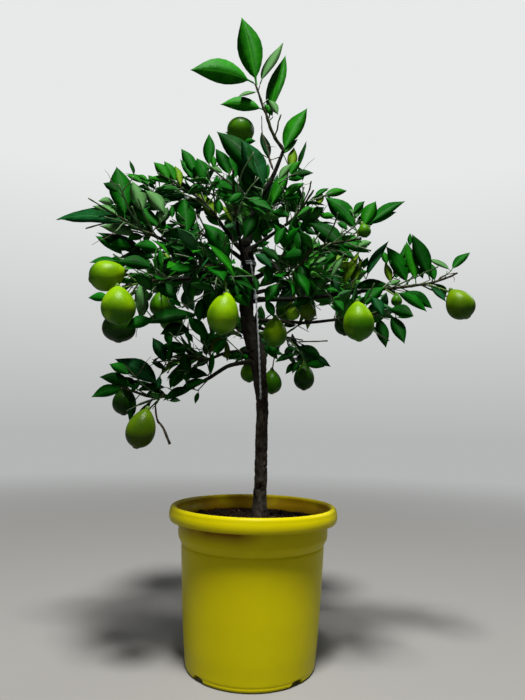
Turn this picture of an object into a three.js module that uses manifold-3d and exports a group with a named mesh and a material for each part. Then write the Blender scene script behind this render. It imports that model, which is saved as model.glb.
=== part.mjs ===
// A potted limequat tree: a slender leaning trunk in a round plastic pot, thin boughs, and masses
// of leafy twigs with small green fruit.
// Millimetres, +Z up, +X to the right and +Y away from the front.
// The origin is the centre of the pot's flat underside.

import * as THREE from 'three';
import { mergeVertices } from 'three/addons/utils/BufferGeometryUtils.js';
import Module from 'manifold-3d';

const wasm = await Module();
wasm.setup();

// Driving dimensions of the pot
const POT_HEIGHT = 178.4;
const RIM_RADIUS = 100;
const MOUTH_RADIUS = 91;
const BASE_RADIUS = 75;
const COLLAR_RADIUS = 88.5;
const SHOULDER_RADIUS = 84.5;
const WALL = 2.2;
const LIP_DROP = 16.5;
const LIP_HOLLOW = 6.6;
const LIP_SOFTNESS = { in: 0.4, down: 0.25 };
const COLLAR_DROP = 40.7;
const SHOULDER_DROP = 52;
const BASE_FILLET = 4.5;
const FILLET_SOFTNESS = 0.3;
const DRAIN_COUNT = 4;
const DRAIN_TURN = THREE.MathUtils.degToRad(-47);
const DRAIN_SIZE = { width: 16, depth: 9, height: 6.5 };
const POT_SIDES = 32;

// Driving dimensions of the soil: its edge is clear of the outside of the wall by the second
const SOIL_LEVEL = 160.5;
const SOIL_CLEAR = 2.62;
const SOIL_LUMP = { height: 2.2, sink: 0.35, inner: 0.3, outer: 0.95 };
const SOIL_RINGS = [0.82, 0.62, 0.42, 0.25];

// A leaf: its usual length, its outline and fold as shares of that, and how leaves stand on a twig
const LEAF = {
  length: 60, widthRatio: 0.41, widest: 0.45, rootRatio: 0.0075, fold: 0.04,
  spacing: 13, angle: THREE.MathUtils.degToRad(58), endAngle: 0.2, lift: 0.2,
  shortest: 0.8, variety: 0.4, attempts: 5, shrink: 0.9, lastShare: 0.98,
};
const TIP_LEAF = { length: 64, miss: 18, backward: -0.2, upstream: 0.3, lowest: 0.1 };
const BLADE = { neck: 0.12, spread: 1.05, overshoot: 0.06, crowding: 0.16 };
const FACING = { outward: 0.3, roll: 1.1, tipRoll: 0.5, tipLift: 0.45, frontLimit: 20 };

// Wood: the radii are those of the corners of a three-sided twig
const TWIG = { sides: 3, span: 32, mostSteps: 3, tipRadius: 1.15, taper: 0.55, bend: 0.16, lift: 0.05 };
const STEM = { swell: 1.35, foot: 4, past: 0.45, ease: 0.4, bare: 0.3, twigBare: 0.15 };
const FILLING = {
  behind: -0.45, span: 1.35, first: 0.12, spread: 0.8, reaches: [0.68, 0.54, 0.4], shortest: 18,
};
const FORK = { parentLength: 62, share: 0.5, length: 22, variety: 18, splay: 0.7, turns: 2 };
const STALK = { lowest: 0.25, upstream: 0.15, bend: 0.45, sunk: 2, seat: 0.46 };
const DRY_TWIG_RADIUS = 1.2;
const WOOD_SAMPLES = 20;
const CARRYING = { from: 0.1, to: 0.95 };
const BOUGH = { sides: 5, span: 19, fewestSteps: 3 };

// Random draws, each with a number of its own
const DRAW = { turn: 1, length: 2, rollX: 3, rollY: 4, fan: 5, fork: 6, forkLength: 7 };

// Clearances
const GAP = 0.3;
const CELL_MARGIN = 0.5;
const TWIG_CELL_MARGIN = 1.5;
const TWIG_MARGIN = 3.5;
const LEAF_ROOT_MARGIN = 1.5;
const BLADE_MARGIN = 5;
const LEAF_STRETCH = 1.1;

const MERGE_DISTANCE = 1e-4;
const SEAM_TOLERANCE = 0.05;
const GOLDEN_ANGLE = Math.PI * (3 - Math.sqrt(5));
const UP = new THREE.Vector3(0, 0, 1);

// The trunk's stations: height, sideways place and radius, from the cut at the soil to the fork
const TRUNK_STATIONS = [
  { z: SOIL_LEVEL + GAP, x: 7, radius: 9.6 },
  { z: 172, x: 7.2, radius: 8.5 },
  { z: 193, x: 7.6, radius: 7.9 },
  { z: 250, x: 7.5, radius: 7.4 },
  { z: 304, x: 7.3, radius: 7.5 },
  { z: 335, x: 3.5, radius: 8.8 },
  { z: 360, x: -0.1, radius: 11 },
  { z: 385, x: -8.2, radius: 10.4 },
  { z: 414, x: -14.5, radius: 8.9 },
  { z: 444, x: -14.8, radius: 9.3 },
  { z: 482, x: -13.7, radius: 7.6 },
  { z: 504, x: -20.2, radius: 6.2 },
];
const TRUNK_SIDES = 10;
const TRUNK_STEPS = 20;
const FLARE = { height: 14, spread: 3.2, lobes: 4, depth: 0.4 };

// The boughs: the height each leaves the trunk, the points it bends through, its tip and its taper
const BOUGHS = {
  leader: {
    foot: 500, tip: [26, -25, 614], radii: [4.6, 2.2],
    through: [[-6, -10, 549], [6.5, -20, 569], [16, -20, 588]],
  },
  upper_left: { foot: 484, through: [[-38, 4, 514]], tip: [-58, 0, 540], radii: [3.8, 2] },
  middle_left: { foot: 478, through: [[-40, -14, 491]], tip: [-62, -26, 500], radii: [2.9, 1.8] },
  front_top: { foot: 456, through: [[-22, -26, 482]], tip: [-28, -48, 520], radii: [2.8, 1.7] },
  far_left: { foot: 458, through: [[-70, -22, 477]], tip: [-122, -42, 494], radii: [3.7, 2] },
  left: { foot: 424, through: [[-62, -40, 443]], tip: [-106, -68, 436], radii: [3.3, 1.9] },
  front_left: { foot: 440, through: [[-28, -34, 452]], tip: [-40, -68, 450], radii: [2.7, 1.7] },
  low_middle: { foot: 362, through: [[-34, -12, 361]], tip: [-54, -20, 352], radii: [2.5, 1.8] },
  low_left: {
    foot: 352, through: [[-34, -18, 343], [-54, -32, 328]], tip: [-84, -46, 309], radii: [2.9, 1.8],
  },
  upper_right: { foot: 492, through: [], tip: [31, -12, 524], radii: [3, 1.9] },
  right: { foot: 452, through: [[28, -12, 474]], tip: [76, -28, 492], radii: [3.1, 1.9] },
  centre_right: { foot: 488, through: [[-1, -15, 490]], tip: [24, -42, 456], radii: [2.7, 1.8] },
  right_shoot: {
    foot: 430, through: [[48, -10, 430], [109, -26, 435]], tip: [146, -31, 439], radii: [3.4, 2],
  },
  right_low: { foot: 404, through: [[60, -22, 398]], tip: [88, -46, 397], radii: [2.5, 1.7] },
  under_right: { foot: 400, through: [], tip: [30, 42, 392], radii: [2.5, 1.8] },
  back_left: { foot: 448, through: [[-44, 38, 466]], tip: [-72, 62, 476], radii: [3.2, 1.9] },
  back_top: { foot: 490, through: [], tip: [-12, 44, 546], radii: [3, 1.9] },
  back_right: { foot: 436, through: [[14, 34, 452]], tip: [46, 60, 462], radii: [3.1, 1.9] },
  back_low: { foot: 386, through: [], tip: [-8, 54, 397], radii: [2.5, 1.8] },
};

// The masses of foliage. Each grows from the tip of the bough with its name and keeps to an
// ellipsoid. Tips are the leaf tips that give the crown its outline, and fruits hang where listed.
const MASSES = [
  {
    name: 'leader', seed: 11, centre: [8, -42, 690], radii: [95, 70, 90], twigs: 0, open: true,
    stem: [[16, -30, 634], [7, -35, 653], [-10, -40, 699]],
    tips: [[-30, -50, 783], [-90, -60, 702], [26, -30, 765], [27, -60, 725], [-51, -70, 651],
      [10, -20, 713], [56, -40, 668], [-58, 0, 728]],
    fruits: [],
  },
  {
    name: 'upper_left', seed: 23, centre: [-94, -8, 566], radii: [78, 64, 66], twigs: 6,
    tips: [[-69, -10, 647], [-105, -10, 625], [-62, 20, 637], [-136, -30, 596], [-108, -30, 592],
      [-85, 0, 617]],
    fruits: [{ centre: [-28, -18, 644], length: 36, width: 35, hang: [0.1, 0, 1] }],
  },
  {
    name: 'front_top', seed: 31, centre: [-30, -84, 545], radii: [62, 50, 66], twigs: 5,
    tips: [[-49, -110, 593], [-29, -120, 558], [-57, -140, 471]],
    fruits: [],
  },
  {
    name: 'middle_left', seed: 37, centre: [-94, -46, 508], radii: [50, 46, 42], twigs: 5,
    tips: [],
    fruits: [],
  },
  {
    name: 'far_left', seed: 43, centre: [-170, -56, 516], radii: [62, 56, 52], twigs: 6,
    tips: [[-239, -60, 513], [-166, -80, 565], [-181, -90, 481], [-167, -20, 604], [-198, -60, 477],
      [-158, -50, 562]],
    fruits: [],
  },
  {
    name: 'left', seed: 53, centre: [-138, -80, 426], radii: [62, 58, 62], twigs: 6,
    tips: [[-176, -60, 458]],
    fruits: [
      { centre: [-167, -90, 432], length: 43, width: 35, hang: [-0.95, 0, -0.3] },
      { centre: [-145, -116, 396], length: 46, width: 36, hang: [0.1, 0, -1] },
      { centre: [-160, -60, 379], length: 42, width: 34, hang: [0, 0, -1] },
      { centre: [-119, -24, 416], length: 32, width: 26, hang: [0, 0, -1] },
    ],
  },
  {
    name: 'front_left', seed: 61, centre: [-60, -104, 440], radii: [62, 54, 64], twigs: 5,
    tips: [],
    fruits: [{ centre: [-34, -130, 385], length: 45, width: 32, hang: [-0.15, 0, -1] }],
  },
  {
    name: 'low_middle', seed: 71, centre: [-86, -36, 350], radii: [58, 54, 50], twigs: 5,
    tips: [],
    fruits: [],
  },
  {
    name: 'low_left', seed: 86, centre: [-134, -64, 312], radii: [54, 50, 46], twigs: 5,
    tips: [[-182, -70, 298], [-169, -90, 321], [-161, -60, 344], [-125, -60, 366]],
    fruits: [
      { centre: [-120, -90, 267], length: 44, width: 31, hang: [-0.25, 0, -1] },
      { centre: [-151, -45, 297], length: 33, width: 27, hang: [0, 0, -1] },
    ],
    dryTwig: [[-109, -62, 276], [-102, -64, 269], [-94, -60, 250]],
  },
  {
    name: 'upper_right', seed: 97, centre: [56, -26, 552], radii: [58, 56, 52], twigs: 6,
    tips: [[71, -20, 613], [66, -30, 587], [60, -60, 558], [58, 10, 642], [112, -10, 574]],
    fruits: [],
  },
  {
    name: 'right', seed: 103, centre: [108, -46, 494], radii: [58, 54, 58], twigs: 5,
    tips: [[177, -40, 548], [146, -20, 556], [110, -110, 464], [112, -110, 449]],
    fruits: [{ centre: [125, -50, 506], length: 18, width: 15, hang: [0.3, 0, -1] }],
  },
  {
    name: 'right_shoot', seed: 113, centre: [196, -34, 452], radii: [78, 48, 70], twigs: 3,
    stem: [[161, -30, 441], [190, -30, 445], [215, -32, 450], [242, -30, 462]],
    tips: [[161, -20, 505], [148, -60, 467], [159, -10, 501], [174, -50, 493], [190, -20, 514],
      [202, -60, 471], [258, -30, 488], [219, -50, 422], [201, -60, 410], [174, -80, 396],
      [205, 20, 430], [228, 10, 480]],
    fruits: [
      { centre: [164, -44, 423], length: 15, width: 13, hang: [0, 0, -1] },
      { centre: [240, -40, 421], length: 40, width: 33, hang: [0.5, 0, -0.85] },
    ],
  },
  {
    name: 'right_low', seed: 127, centre: [120, -86, 396], radii: [62, 54, 54], twigs: 5,
    tips: [[161, -90, 364], [138, -100, 357]],
    fruits: [{ centre: [108, -104, 385], length: 44, width: 33, hang: [0.05, 0, -1] }],
  },
  {
    name: 'centre_right', seed: 131, centre: [48, -80, 462], radii: [54, 52, 56], twigs: 6,
    tips: [],
    fruits: [
      { centre: [60, -56, 411], length: 30, width: 24, hang: [0.1, 0, -1] },
      { centre: [40, -52, 409], length: 22, width: 18, hang: [0, 0, -1] },
      { centre: [21, -34, 383], length: 37, width: 29, hang: [0, 0, -1] },
    ],
  },
  {
    name: 'under_right', seed: 149, centre: [60, 42, 372], radii: [54, 54, 46], twigs: 5,
    tips: [[99, 60, 353], [84, 30, 359]],
    fruits: [
      { centre: [20, 58, 331], length: 34, width: 27, hang: [0, 0, -1] },
      { centre: [62, 40, 340], length: 35, width: 27, hang: [0, 0, -1] },
    ],
  },
  {
    name: 'back_left', seed: 151, centre: [-104, 88, 488], radii: [74, 62, 72], twigs: 5,
    tips: [[-176, 110, 470], [-120, 120, 566]],
    fruits: [
      { centre: [-128, 110, 425], length: 42, width: 34, hang: [0, 0, -1] },
      { centre: [-62, 118, 446], length: 40, width: 32, hang: [0, 0, -1] },
    ],
  },
  {
    name: 'back_top', seed: 163, centre: [-8, 76, 580], radii: [66, 58, 54], twigs: 5,
    tips: [[-10, 100, 650]],
    fruits: [],
  },
  {
    name: 'back_right', seed: 173, centre: [72, 86, 476], radii: [74, 62, 70], twigs: 5,
    tips: [[160, 96, 500], [96, 130, 550]],
    fruits: [
      { centre: [112, 112, 420], length: 42, width: 34, hang: [0, 0, -1] },
      { centre: [40, 126, 446], length: 38, width: 30, hang: [0, 0, -1] },
    ],
  },
  {
    name: 'back_low', seed: 181, centre: [-6, 88, 392], radii: [58, 50, 50], twigs: 5,
    tips: [],
    fruits: [{ centre: [-11, 70, 345], length: 30, width: 24, hang: [0, 0, -1] }],
  },
];

// The pale string that ties the trunk below its fork: a ring, a knot and a hanging tail
const TIE = {
  ringHeight: 476, radius: 1, slack: 0.9, knotRadius: 2.6, ringSegments: 12, sides: 4,
  tail: [[-10.8, -9.2, 476], [-3.2, -12.6, 431], [1.5, -14, 372], [5.5, -12, 312]],
};

// Finishes
const potFinish = new THREE.MeshStandardMaterial({ color: 0xb9b414, roughness: 0.42, metalness: 0 });
const soilFinish = new THREE.MeshStandardMaterial({ color: 0x241a12, roughness: 0.95, metalness: 0 });
const barkFinish = new THREE.MeshStandardMaterial({ color: 0x3a3028, roughness: 0.9, metalness: 0 });
const leafFinish = new THREE.MeshStandardMaterial({ color: 0x1f5a1c, roughness: 0.5, metalness: 0 });
const stringFinish = new THREE.MeshStandardMaterial({ color: 0xb8bcc4, roughness: 0.8, metalness: 0 });

const place = coordinates => new THREE.Vector3(...coordinates);

// Repeatable random number from 0 to 1, from a seed, a counter and the number of the draw
function chance(seed, counter, draw) {
  let mix = Math.imul(seed, 374761393);
  mix ^= Math.imul(counter + 1, 668265263);
  mix ^= Math.imul(draw + 1, 974634777);
  mix = Math.imul(mix ^ (mix >>> 13), 1274126177);
  mix ^= mix >>> 16;
  return (mix >>> 0) / 2 ** 32;
}

// Any unit vector square to the one given
function squareTo(direction) {
  const steep = Math.abs(direction.z) > 0.9;
  const helper = steep ? new THREE.Vector3(1, 0, 0) : UP;
  return new THREE.Vector3().crossVectors(helper, direction).normalize();
}

// Even steps from one number to another
const taper = (from, to, count) => (
  Array.from({ length: count }, (_, i) => from + (to - from) * i / (count - 1))
);

// Solids and meshes

function solidFrom(positions, triangles) {
  return new wasm.Manifold(new wasm.Mesh({
    numProp: 3,
    vertProperties: new Float32Array(positions),
    triVerts: new Uint32Array(triangles),
  }));
}

function solidOf(geometry) {
  geometry.deleteAttribute('normal');
  geometry.deleteAttribute('uv');
  const merged = mergeVertices(geometry, MERGE_DISTANCE);
  return solidFrom(merged.attributes.position.array, merged.index.array);
}

function meshOf(name, solid, finish) {
  const { vertProperties, triVerts } = solid.getMesh();
  const geometry = new THREE.BufferGeometry();
  geometry.setAttribute('position', new THREE.BufferAttribute(vertProperties, 3));
  geometry.setIndex(new THREE.BufferAttribute(triVerts, 1));
  const mesh = new THREE.Mesh(geometry, finish);
  mesh.name = name;
  return mesh;
}

const joined = solids => solids.reduce((sum, solid) => sum.add(solid));

// The largest body, with scraps and sealed hollows left out
function largestBody(solid) {
  const bodies = solid.asOriginal().simplify(SEAM_TOLERANCE).decompose();
  return bodies.reduce((best, body) => (body.volume() > best.volume() ? body : best));
}

// A tapering limb along a polyline: a closed cylinder whose rings are moved to the points.
// Bulge scales a ring's radius by its number and angle.
function limbSolid(points, radii, sides, bulge = () => 1) {
  const steps = points.length - 1;
  const frames = [];
  let across = squareTo(points[1].clone().sub(points[0]));
  for (let ring = 0; ring <= steps; ring += 1) {
    const before = points[Math.max(ring - 1, 0)];
    const after = points[Math.min(ring + 1, steps)];
    const along = after.clone().sub(before).normalize();
    across = across.clone().addScaledVector(along, -across.dot(along)).normalize();
    frames.push({ across, other: new THREE.Vector3().crossVectors(across, along) });
  }
  const geometry = new THREE.CylinderGeometry(1, 1, steps, sides, steps);
  const position = geometry.attributes.position;
  for (let vertex = 0; vertex < position.count; vertex += 1) {
    const ring = Math.round(position.getY(vertex) + steps / 2);
    const angle = Math.atan2(position.getZ(vertex), position.getX(vertex));
    const reach = Math.hypot(position.getX(vertex), position.getZ(vertex));
    const radius = reach * radii[ring] * bulge(ring, angle);
    const moved = points[ring].clone()
      .addScaledVector(frames[ring].across, Math.cos(angle) * radius)
      .addScaledVector(frames[ring].other, Math.sin(angle) * radius);
    position.setXYZ(vertex, moved.x, moved.y, moved.z);
  }
  return solidOf(geometry);
}

// A surface of revolution about the Z axis from an outline of [radius, height] that closes
function turnedGeometry(outline, sides) {
  const profile = outline.map(([radius, height]) => new THREE.Vector2(radius, height));
  return new THREE.LatheGeometry(profile, sides).rotateX(Math.PI / 2);
}

// Pot and soil

function potSolid() {
  const lipBottom = POT_HEIGHT - LIP_DROP;
  const lipRound = (RIM_RADIUS - MOUTH_RADIUS) / 2;
  const shoulder = POT_HEIGHT - SHOULDER_DROP;
  const floor = BASE_FILLET + WALL;
  const outline = [
    [0, 0],
    [BASE_RADIUS - BASE_FILLET, 0],
    [BASE_RADIUS - BASE_FILLET * FILLET_SOFTNESS, BASE_FILLET * FILLET_SOFTNESS],
    [BASE_RADIUS, BASE_FILLET],
    [SHOULDER_RADIUS, shoulder],
    [COLLAR_RADIUS, POT_HEIGHT - COLLAR_DROP],
    [COLLAR_RADIUS, lipBottom + LIP_HOLLOW],
    [RIM_RADIUS - WALL, lipBottom + LIP_HOLLOW],
    [RIM_RADIUS - WALL, lipBottom],
    [RIM_RADIUS, lipBottom],
    [RIM_RADIUS, POT_HEIGHT - lipRound],
    [RIM_RADIUS - lipRound * LIP_SOFTNESS.in, POT_HEIGHT - lipRound * LIP_SOFTNESS.down],
    [RIM_RADIUS - lipRound, POT_HEIGHT],
    [MOUTH_RADIUS, POT_HEIGHT - lipRound],
    [COLLAR_RADIUS - WALL, lipBottom],
    [SHOULDER_RADIUS - WALL, shoulder],
    [BASE_RADIUS - WALL, floor],
    [0, floor],
  ];
  let pot = solidOf(turnedGeometry(outline, POT_SIDES));
  for (let drain = 0; drain < DRAIN_COUNT; drain += 1) {
    const notch = new THREE.BoxGeometry(DRAIN_SIZE.depth * 2, DRAIN_SIZE.width, DRAIN_SIZE.height * 2);
    notch.translate(BASE_RADIUS, 0, 0);
    notch.rotateZ(DRAIN_TURN + drain * Math.PI * 2 / DRAIN_COUNT);
    pot = pot.subtract(solidOf(notch));
  }
  return pot;
}

// The soil fills the pot just clear of its wall, and its top is uneven between trunk and edge
function soilSolid() {
  const shoulder = POT_HEIGHT - SHOULDER_DROP;
  const slope = (COLLAR_RADIUS - SHOULDER_RADIUS) / (POT_HEIGHT - LIP_DROP - shoulder);
  const edge = SHOULDER_RADIUS - SOIL_CLEAR + slope * (SOIL_LEVEL - shoulder);
  const floor = BASE_FILLET + WALL + GAP;
  const outline = [
    [0, floor],
    [BASE_RADIUS - SOIL_CLEAR, floor],
    [SHOULDER_RADIUS - SOIL_CLEAR, shoulder],
    [edge, SOIL_LEVEL],
    ...SOIL_RINGS.map(share => [edge * share, SOIL_LEVEL]),
    [0, SOIL_LEVEL],
  ];
  const geometry = turnedGeometry(outline, POT_SIDES / 2);
  const position = geometry.attributes.position;
  for (let vertex = 0; vertex < position.count; vertex += 1) {
    const x = position.getX(vertex);
    const y = position.getY(vertex);
    const fromCentre = Math.hypot(x, y) / edge;
    const onTop = position.getZ(vertex) > SOIL_LEVEL - GAP;
    if (onTop && fromCentre > SOIL_LUMP.inner && fromCentre < SOIL_LUMP.outer) {
      const lump = SOIL_LUMP.height * (chance(Math.round(x), Math.round(y), DRAW.turn) - SOIL_LUMP.sink);
      position.setZ(vertex, SOIL_LEVEL + lump);
    }
  }
  return solidOf(geometry);
}

// Trunk and boughs

function trunkAt(height) {
  const last = TRUNK_STATIONS.length - 1;
  const upper = TRUNK_STATIONS.findIndex((station, i) => i > 0 && station.z >= height);
  const high = TRUNK_STATIONS[upper < 0 ? last : upper];
  const low = TRUNK_STATIONS[(upper < 0 ? last : upper) - 1];
  const share = THREE.MathUtils.clamp((height - low.z) / (high.z - low.z), 0, 1);
  return {
    centre: new THREE.Vector3(THREE.MathUtils.lerp(low.x, high.x, share), 0, height),
    radius: THREE.MathUtils.lerp(low.radius, high.radius, share),
  };
}

const trunkLine = TRUNK_STATIONS.map(({ x, z }) => new THREE.Vector3(x, 0, z));

// The trunk swells in lobes at the root flare
function trunkSolid(extra = 0) {
  const points = new THREE.CatmullRomCurve3(trunkLine).getPoints(TRUNK_STEPS);
  const radii = points.map(point => trunkAt(point.z).radius + extra);
  const flare = (ring, angle) => {
    const above = (points[ring].z - SOIL_LEVEL) / FLARE.height;
    const lobe = 1 - FLARE.depth + FLARE.depth * Math.cos(FLARE.lobes * angle);
    return 1 + FLARE.spread * Math.exp(-above * above) * lobe / radii[ring];
  };
  return limbSolid(points, radii, TRUNK_SIDES, flare);
}

function boughPath({ foot, through, tip }) {
  const stations = [trunkAt(foot).centre, ...through.map(place), place(tip)];
  const curve = new THREE.CatmullRomCurve3(stations);
  const steps = Math.max(BOUGH.fewestSteps, Math.round(curve.getLength() / BOUGH.span));
  return curve.getPoints(steps);
}

// Free space: obstacles are round-ended limbs that twigs and leaves keep clear of. A mass is
// not kept clear of its own wood.

const obstacles = [];

function addObstacle(points, radii, owner) {
  for (let i = 1; i < points.length; i += 1) {
    const line = new THREE.Line3(points[i - 1], points[i]);
    obstacles.push({ line, radii: [radii[i - 1], radii[i]], owner });
  }
}

function isClear(point, margin, owner) {
  return obstacles.every(({ line, radii, owner: obstacleOwner }) => {
    if (obstacleOwner === owner) {
      return true;
    }
    const share = line.closestPointToPointParameter(point, true);
    const nearest = line.at(share, new THREE.Vector3());
    return nearest.distanceTo(point) > THREE.MathUtils.lerp(radii[0], radii[1], share) + margin;
  });
}

function powerOf(mass, point) {
  const size = (mass.radii[0] + mass.radii[1] + mass.radii[2]) / 3;
  return point.distanceToSquared(place(mass.centre)) - size ** 2;
}

// A mass's cell is bounded by one plane between it and each other mass, so cells never overlap
function inCell(mass, point, margin) {
  const own = powerOf(mass, point);
  return MASSES.every(other => {
    const between = 2 * place(mass.centre).distanceTo(place(other.centre));
    return other === mass || (powerOf(other, point) - own) / between > margin;
  });
}

function inOutline(mass, point, stretch) {
  return point.clone().sub(place(mass.centre)).divide(place(mass.radii)).length() < stretch;
}

// Twigs

function segmentAt({ points }, share) {
  const along = share * (points.length - 1);
  const step = Math.min(Math.floor(along), points.length - 2);
  return { from: points[step], to: points[step + 1], share: along - step };
}

function pointOn(twig, share) {
  const segment = segmentAt(twig, share);
  return segment.from.clone().lerp(segment.to, segment.share);
}

function directionOn(twig, share) {
  const { from, to } = segmentAt(twig, share);
  return to.clone().sub(from).normalize();
}

// A bent twig has a point at each end and one for about every span between
function curvedPoints(start, middle, end) {
  const steps = THREE.MathUtils.clamp(Math.round(start.distanceTo(end) / TWIG.span), 1, TWIG.mostSteps);
  return new THREE.QuadraticBezierCurve3(start, middle, end).getPoints(steps);
}

// A twig sets off along its parent and bends round to its end
function twigBetween(parent, share, end) {
  const start = pointOn(parent, share);
  const length = start.distanceTo(end);
  const middle = start.clone().lerp(end, 0.5)
    .addScaledVector(directionOn(parent, share), length * TWIG.bend)
    .addScaledVector(UP, length * TWIG.lift);
  const parentRadius = THREE.MathUtils.lerp(parent.radii[0], parent.radii[1], share);
  const thick = Math.max(parentRadius * TWIG.taper, TWIG.tipRadius);
  return { points: curvedPoints(start, middle, end), radii: [thick, TWIG.tipRadius], length };
}

// Shares of a twig's length that have to be free, past its start inside its parent
const TWIG_SAMPLES = [0.2, 0.3, 0.4, 0.5, 0.6, 0.7, 0.8, 0.9, 1];

function twigIsFree(mass, twig, shaped) {
  return TWIG_SAMPLES.every(share => {
    const point = pointOn(twig, share);
    const held = inCell(mass, point, TWIG_CELL_MARGIN) && (!shaped || inOutline(mass, point, 1));
    return held && isClear(point, TWIG_MARGIN, mass.name);
  });
}

// Leaves

function leafPoint(leaf, alongShare, sideShare) {
  return leaf.root.clone()
    .addScaledVector(leaf.along, leaf.length * alongShare)
    .addScaledVector(leaf.side, leaf.length * LEAF.widthRatio * 0.5 * sideShare)
    .addScaledVector(leaf.normal, leaf.length * LEAF.fold * Math.abs(sideShare));
}

// Six times the volume of the tetrahedron on four points, with a sign for its handedness
function turnOf(a, b, c, d) {
  return b.clone().sub(a).cross(c.clone().sub(a)).dot(d.clone().sub(a));
}

// Whether the segment from p to q passes through the triangle a, b, c
function pierces(p, q, [a, b, c]) {
  if (turnOf(a, b, c, p) * turnOf(a, b, c, q) > 0) {
    return false;
  }
  const first = Math.sign(turnOf(p, q, a, b));
  return first === Math.sign(turnOf(p, q, b, c)) && first === Math.sign(turnOf(p, q, c, a));
}

// The blade in two triangles, without the narrow part at its root, and its five edges
function bladeOf(leaf) {
  const root = leafPoint(leaf, BLADE.neck, 0);
  const left = leafPoint(leaf, LEAF.widest, BLADE.spread);
  const right = leafPoint(leaf, LEAF.widest, -BLADE.spread);
  const tip = leafPoint(leaf, 1 + BLADE.overshoot, 0);
  return {
    middle: leafPoint(leaf, LEAF.widest, 0),
    triangles: [[root, left, tip], [root, tip, right]],
    edges: [[root, left], [left, tip], [tip, right], [right, root], [root, tip]],
  };
}

function bladesCross(one, other) {
  const hits = (edges, triangles) => (
    edges.some(([p, q]) => triangles.some(triangle => pierces(p, q, triangle)))
  );
  return hits(one.edges, other.triangles) || hits(other.edges, one.triangles);
}

// A blade crosses no other blade of its mass and none of its twigs
function bladeIsFree(leaf, { leaves, twigs }) {
  const crowded = leaves.some(other => {
    const apart = other.blade.middle.distanceTo(leaf.blade.middle);
    const near = apart < leaf.length + other.length;
    return apart < BLADE.crowding * leaf.length || (near && bladesCross(leaf.blade, other.blade));
  });
  return !crowded && !twigs.some(({ points }) => points.some((point, i) => (
    i > 0 && leaf.blade.triangles.some(triangle => pierces(points[i - 1], point, triangle))
  )));
}

// Points over a leaf, as shares of its length and half width
const LEAF_SAMPLES = [
  [1, 0], [LEAF.widest, 1], [LEAF.widest, -1], [LEAF.widest, 0],
  [0.75, 0], [0.7, 0.5], [0.7, -0.5], [0.22, 0],
];

function leafIsHeld(mass, leaf, shaped) {
  return LEAF_SAMPLES.every(([alongShare, sideShare]) => {
    const point = leafPoint(leaf, alongShare, sideShare);
    const held = inCell(mass, point, CELL_MARGIN) && (!shaped || inOutline(mass, point, LEAF_STRETCH));
    return held && isClear(point, alongShare < LEAF.widest ? LEAF_ROOT_MARGIN : BLADE_MARGIN, mass.name);
  });
}

// A blade inside faces up and outwards, rolled a little at random, and one at the outline shows
// its face to the front or the back
function bladeFacing(mass, root, counter, shaped) {
  const roll = new THREE.Vector3(
    chance(mass.seed, counter, DRAW.rollX) - 0.5,
    chance(mass.seed, counter, DRAW.rollY) - 0.5,
    0,
  );
  if (shaped) {
    const outward = root.clone().setZ(0).normalize();
    return UP.clone().addScaledVector(outward, FACING.outward).addScaledVector(roll, FACING.roll);
  }
  const front = mass.centre[1] < FACING.frontLimit;
  return new THREE.Vector3(0, front ? -1 : 1, FACING.tipLift).addScaledVector(roll, FACING.tipRoll);
}

function tryLeaf(mass, foliage, root, along, length, shaped) {
  const facing = bladeFacing(mass, root, foliage.tries, shaped);
  const normal = facing.addScaledVector(along, -facing.dot(along)).normalize();
  const leaf = { root, along, normal, side: new THREE.Vector3().crossVectors(along, normal), length };
  leaf.blade = bladeOf(leaf);
  foliage.tries += 1;
  const free = leafIsHeld(mass, leaf, shaped) && bladeIsFree(leaf, foliage);
  if (free) {
    foliage.leaves.push(leaf);
  }
  return free;
}

// Leaves stand round a twig in a spiral from its end down, and the first points along it. One
// that doesn't fit is turned on and shortened a few times, and then left out.
function leafTwig(mass, foliage, twig, bare) {
  const count = Math.max(1, Math.round(twig.length * (1 - bare) / LEAF.spacing));
  let turn = chance(mass.seed, foliage.tries, DRAW.turn) * Math.PI * 2;
  for (let i = count; i >= 0; i -= 1) {
    const share = Math.min(bare + (1 - bare) * i / count, LEAF.lastShare);
    const forward = directionOn(twig, share);
    const angle = i === count ? LEAF.endAngle : LEAF.angle;
    const draw = chance(mass.seed, foliage.tries, DRAW.length);
    let length = LEAF.length * (LEAF.shortest + LEAF.variety * draw);
    let placed = false;
    for (let attempt = 0; attempt < LEAF.attempts && !placed; attempt += 1) {
      const across = squareTo(forward).applyAxisAngle(forward, turn);
      const along = forward.clone().multiplyScalar(Math.cos(angle))
        .addScaledVector(across, Math.sin(angle))
        .addScaledVector(UP, LEAF.lift)
        .normalize();
      placed = tryLeaf(mass, foliage, pointOn(twig, share), along, length, true);
      turn += GOLDEN_ANGLE;
      length *= LEAF.shrink;
    }
  }
}

// Growth of one mass

// The stem goes straight on from the bough's tip and then bends into the mass
function stemOf(mass, bough) {
  const last = bough.points.length - 1;
  const forward = bough.points[last].clone().sub(bough.points[last - 1]).normalize();
  const foot = bough.points[last].clone().addScaledVector(forward, GAP);
  const start = foot.clone().addScaledVector(forward, STEM.foot);
  const centre = place(mass.centre);
  const end = centre.clone().addScaledVector(centre.clone().sub(start), STEM.past);
  const middle = start.clone().addScaledVector(forward, start.distanceTo(end) * STEM.ease);
  const route = mass.stem ? [start, ...mass.stem.map(place)] : curvedPoints(start, middle, end);
  const points = [foot, ...route];
  const radii = [bough.radii[last] * STEM.swell, TWIG.tipRadius * STEM.swell];
  return { points, radii, length: foot.distanceTo(points[points.length - 1]) };
}

// The points along all the twigs, from a share of each twig to its end
function woodPoints(twigs, firstShare, lastShare) {
  return twigs.flatMap(twig => Array.from({ length: WOOD_SAMPLES + 1 }, (_, i) => i / WOOD_SAMPLES)
    .filter(share => share >= firstShare && share <= lastShare)
    .map(share => ({ twig, share, point: pointOn(twig, share) })));
}

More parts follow.
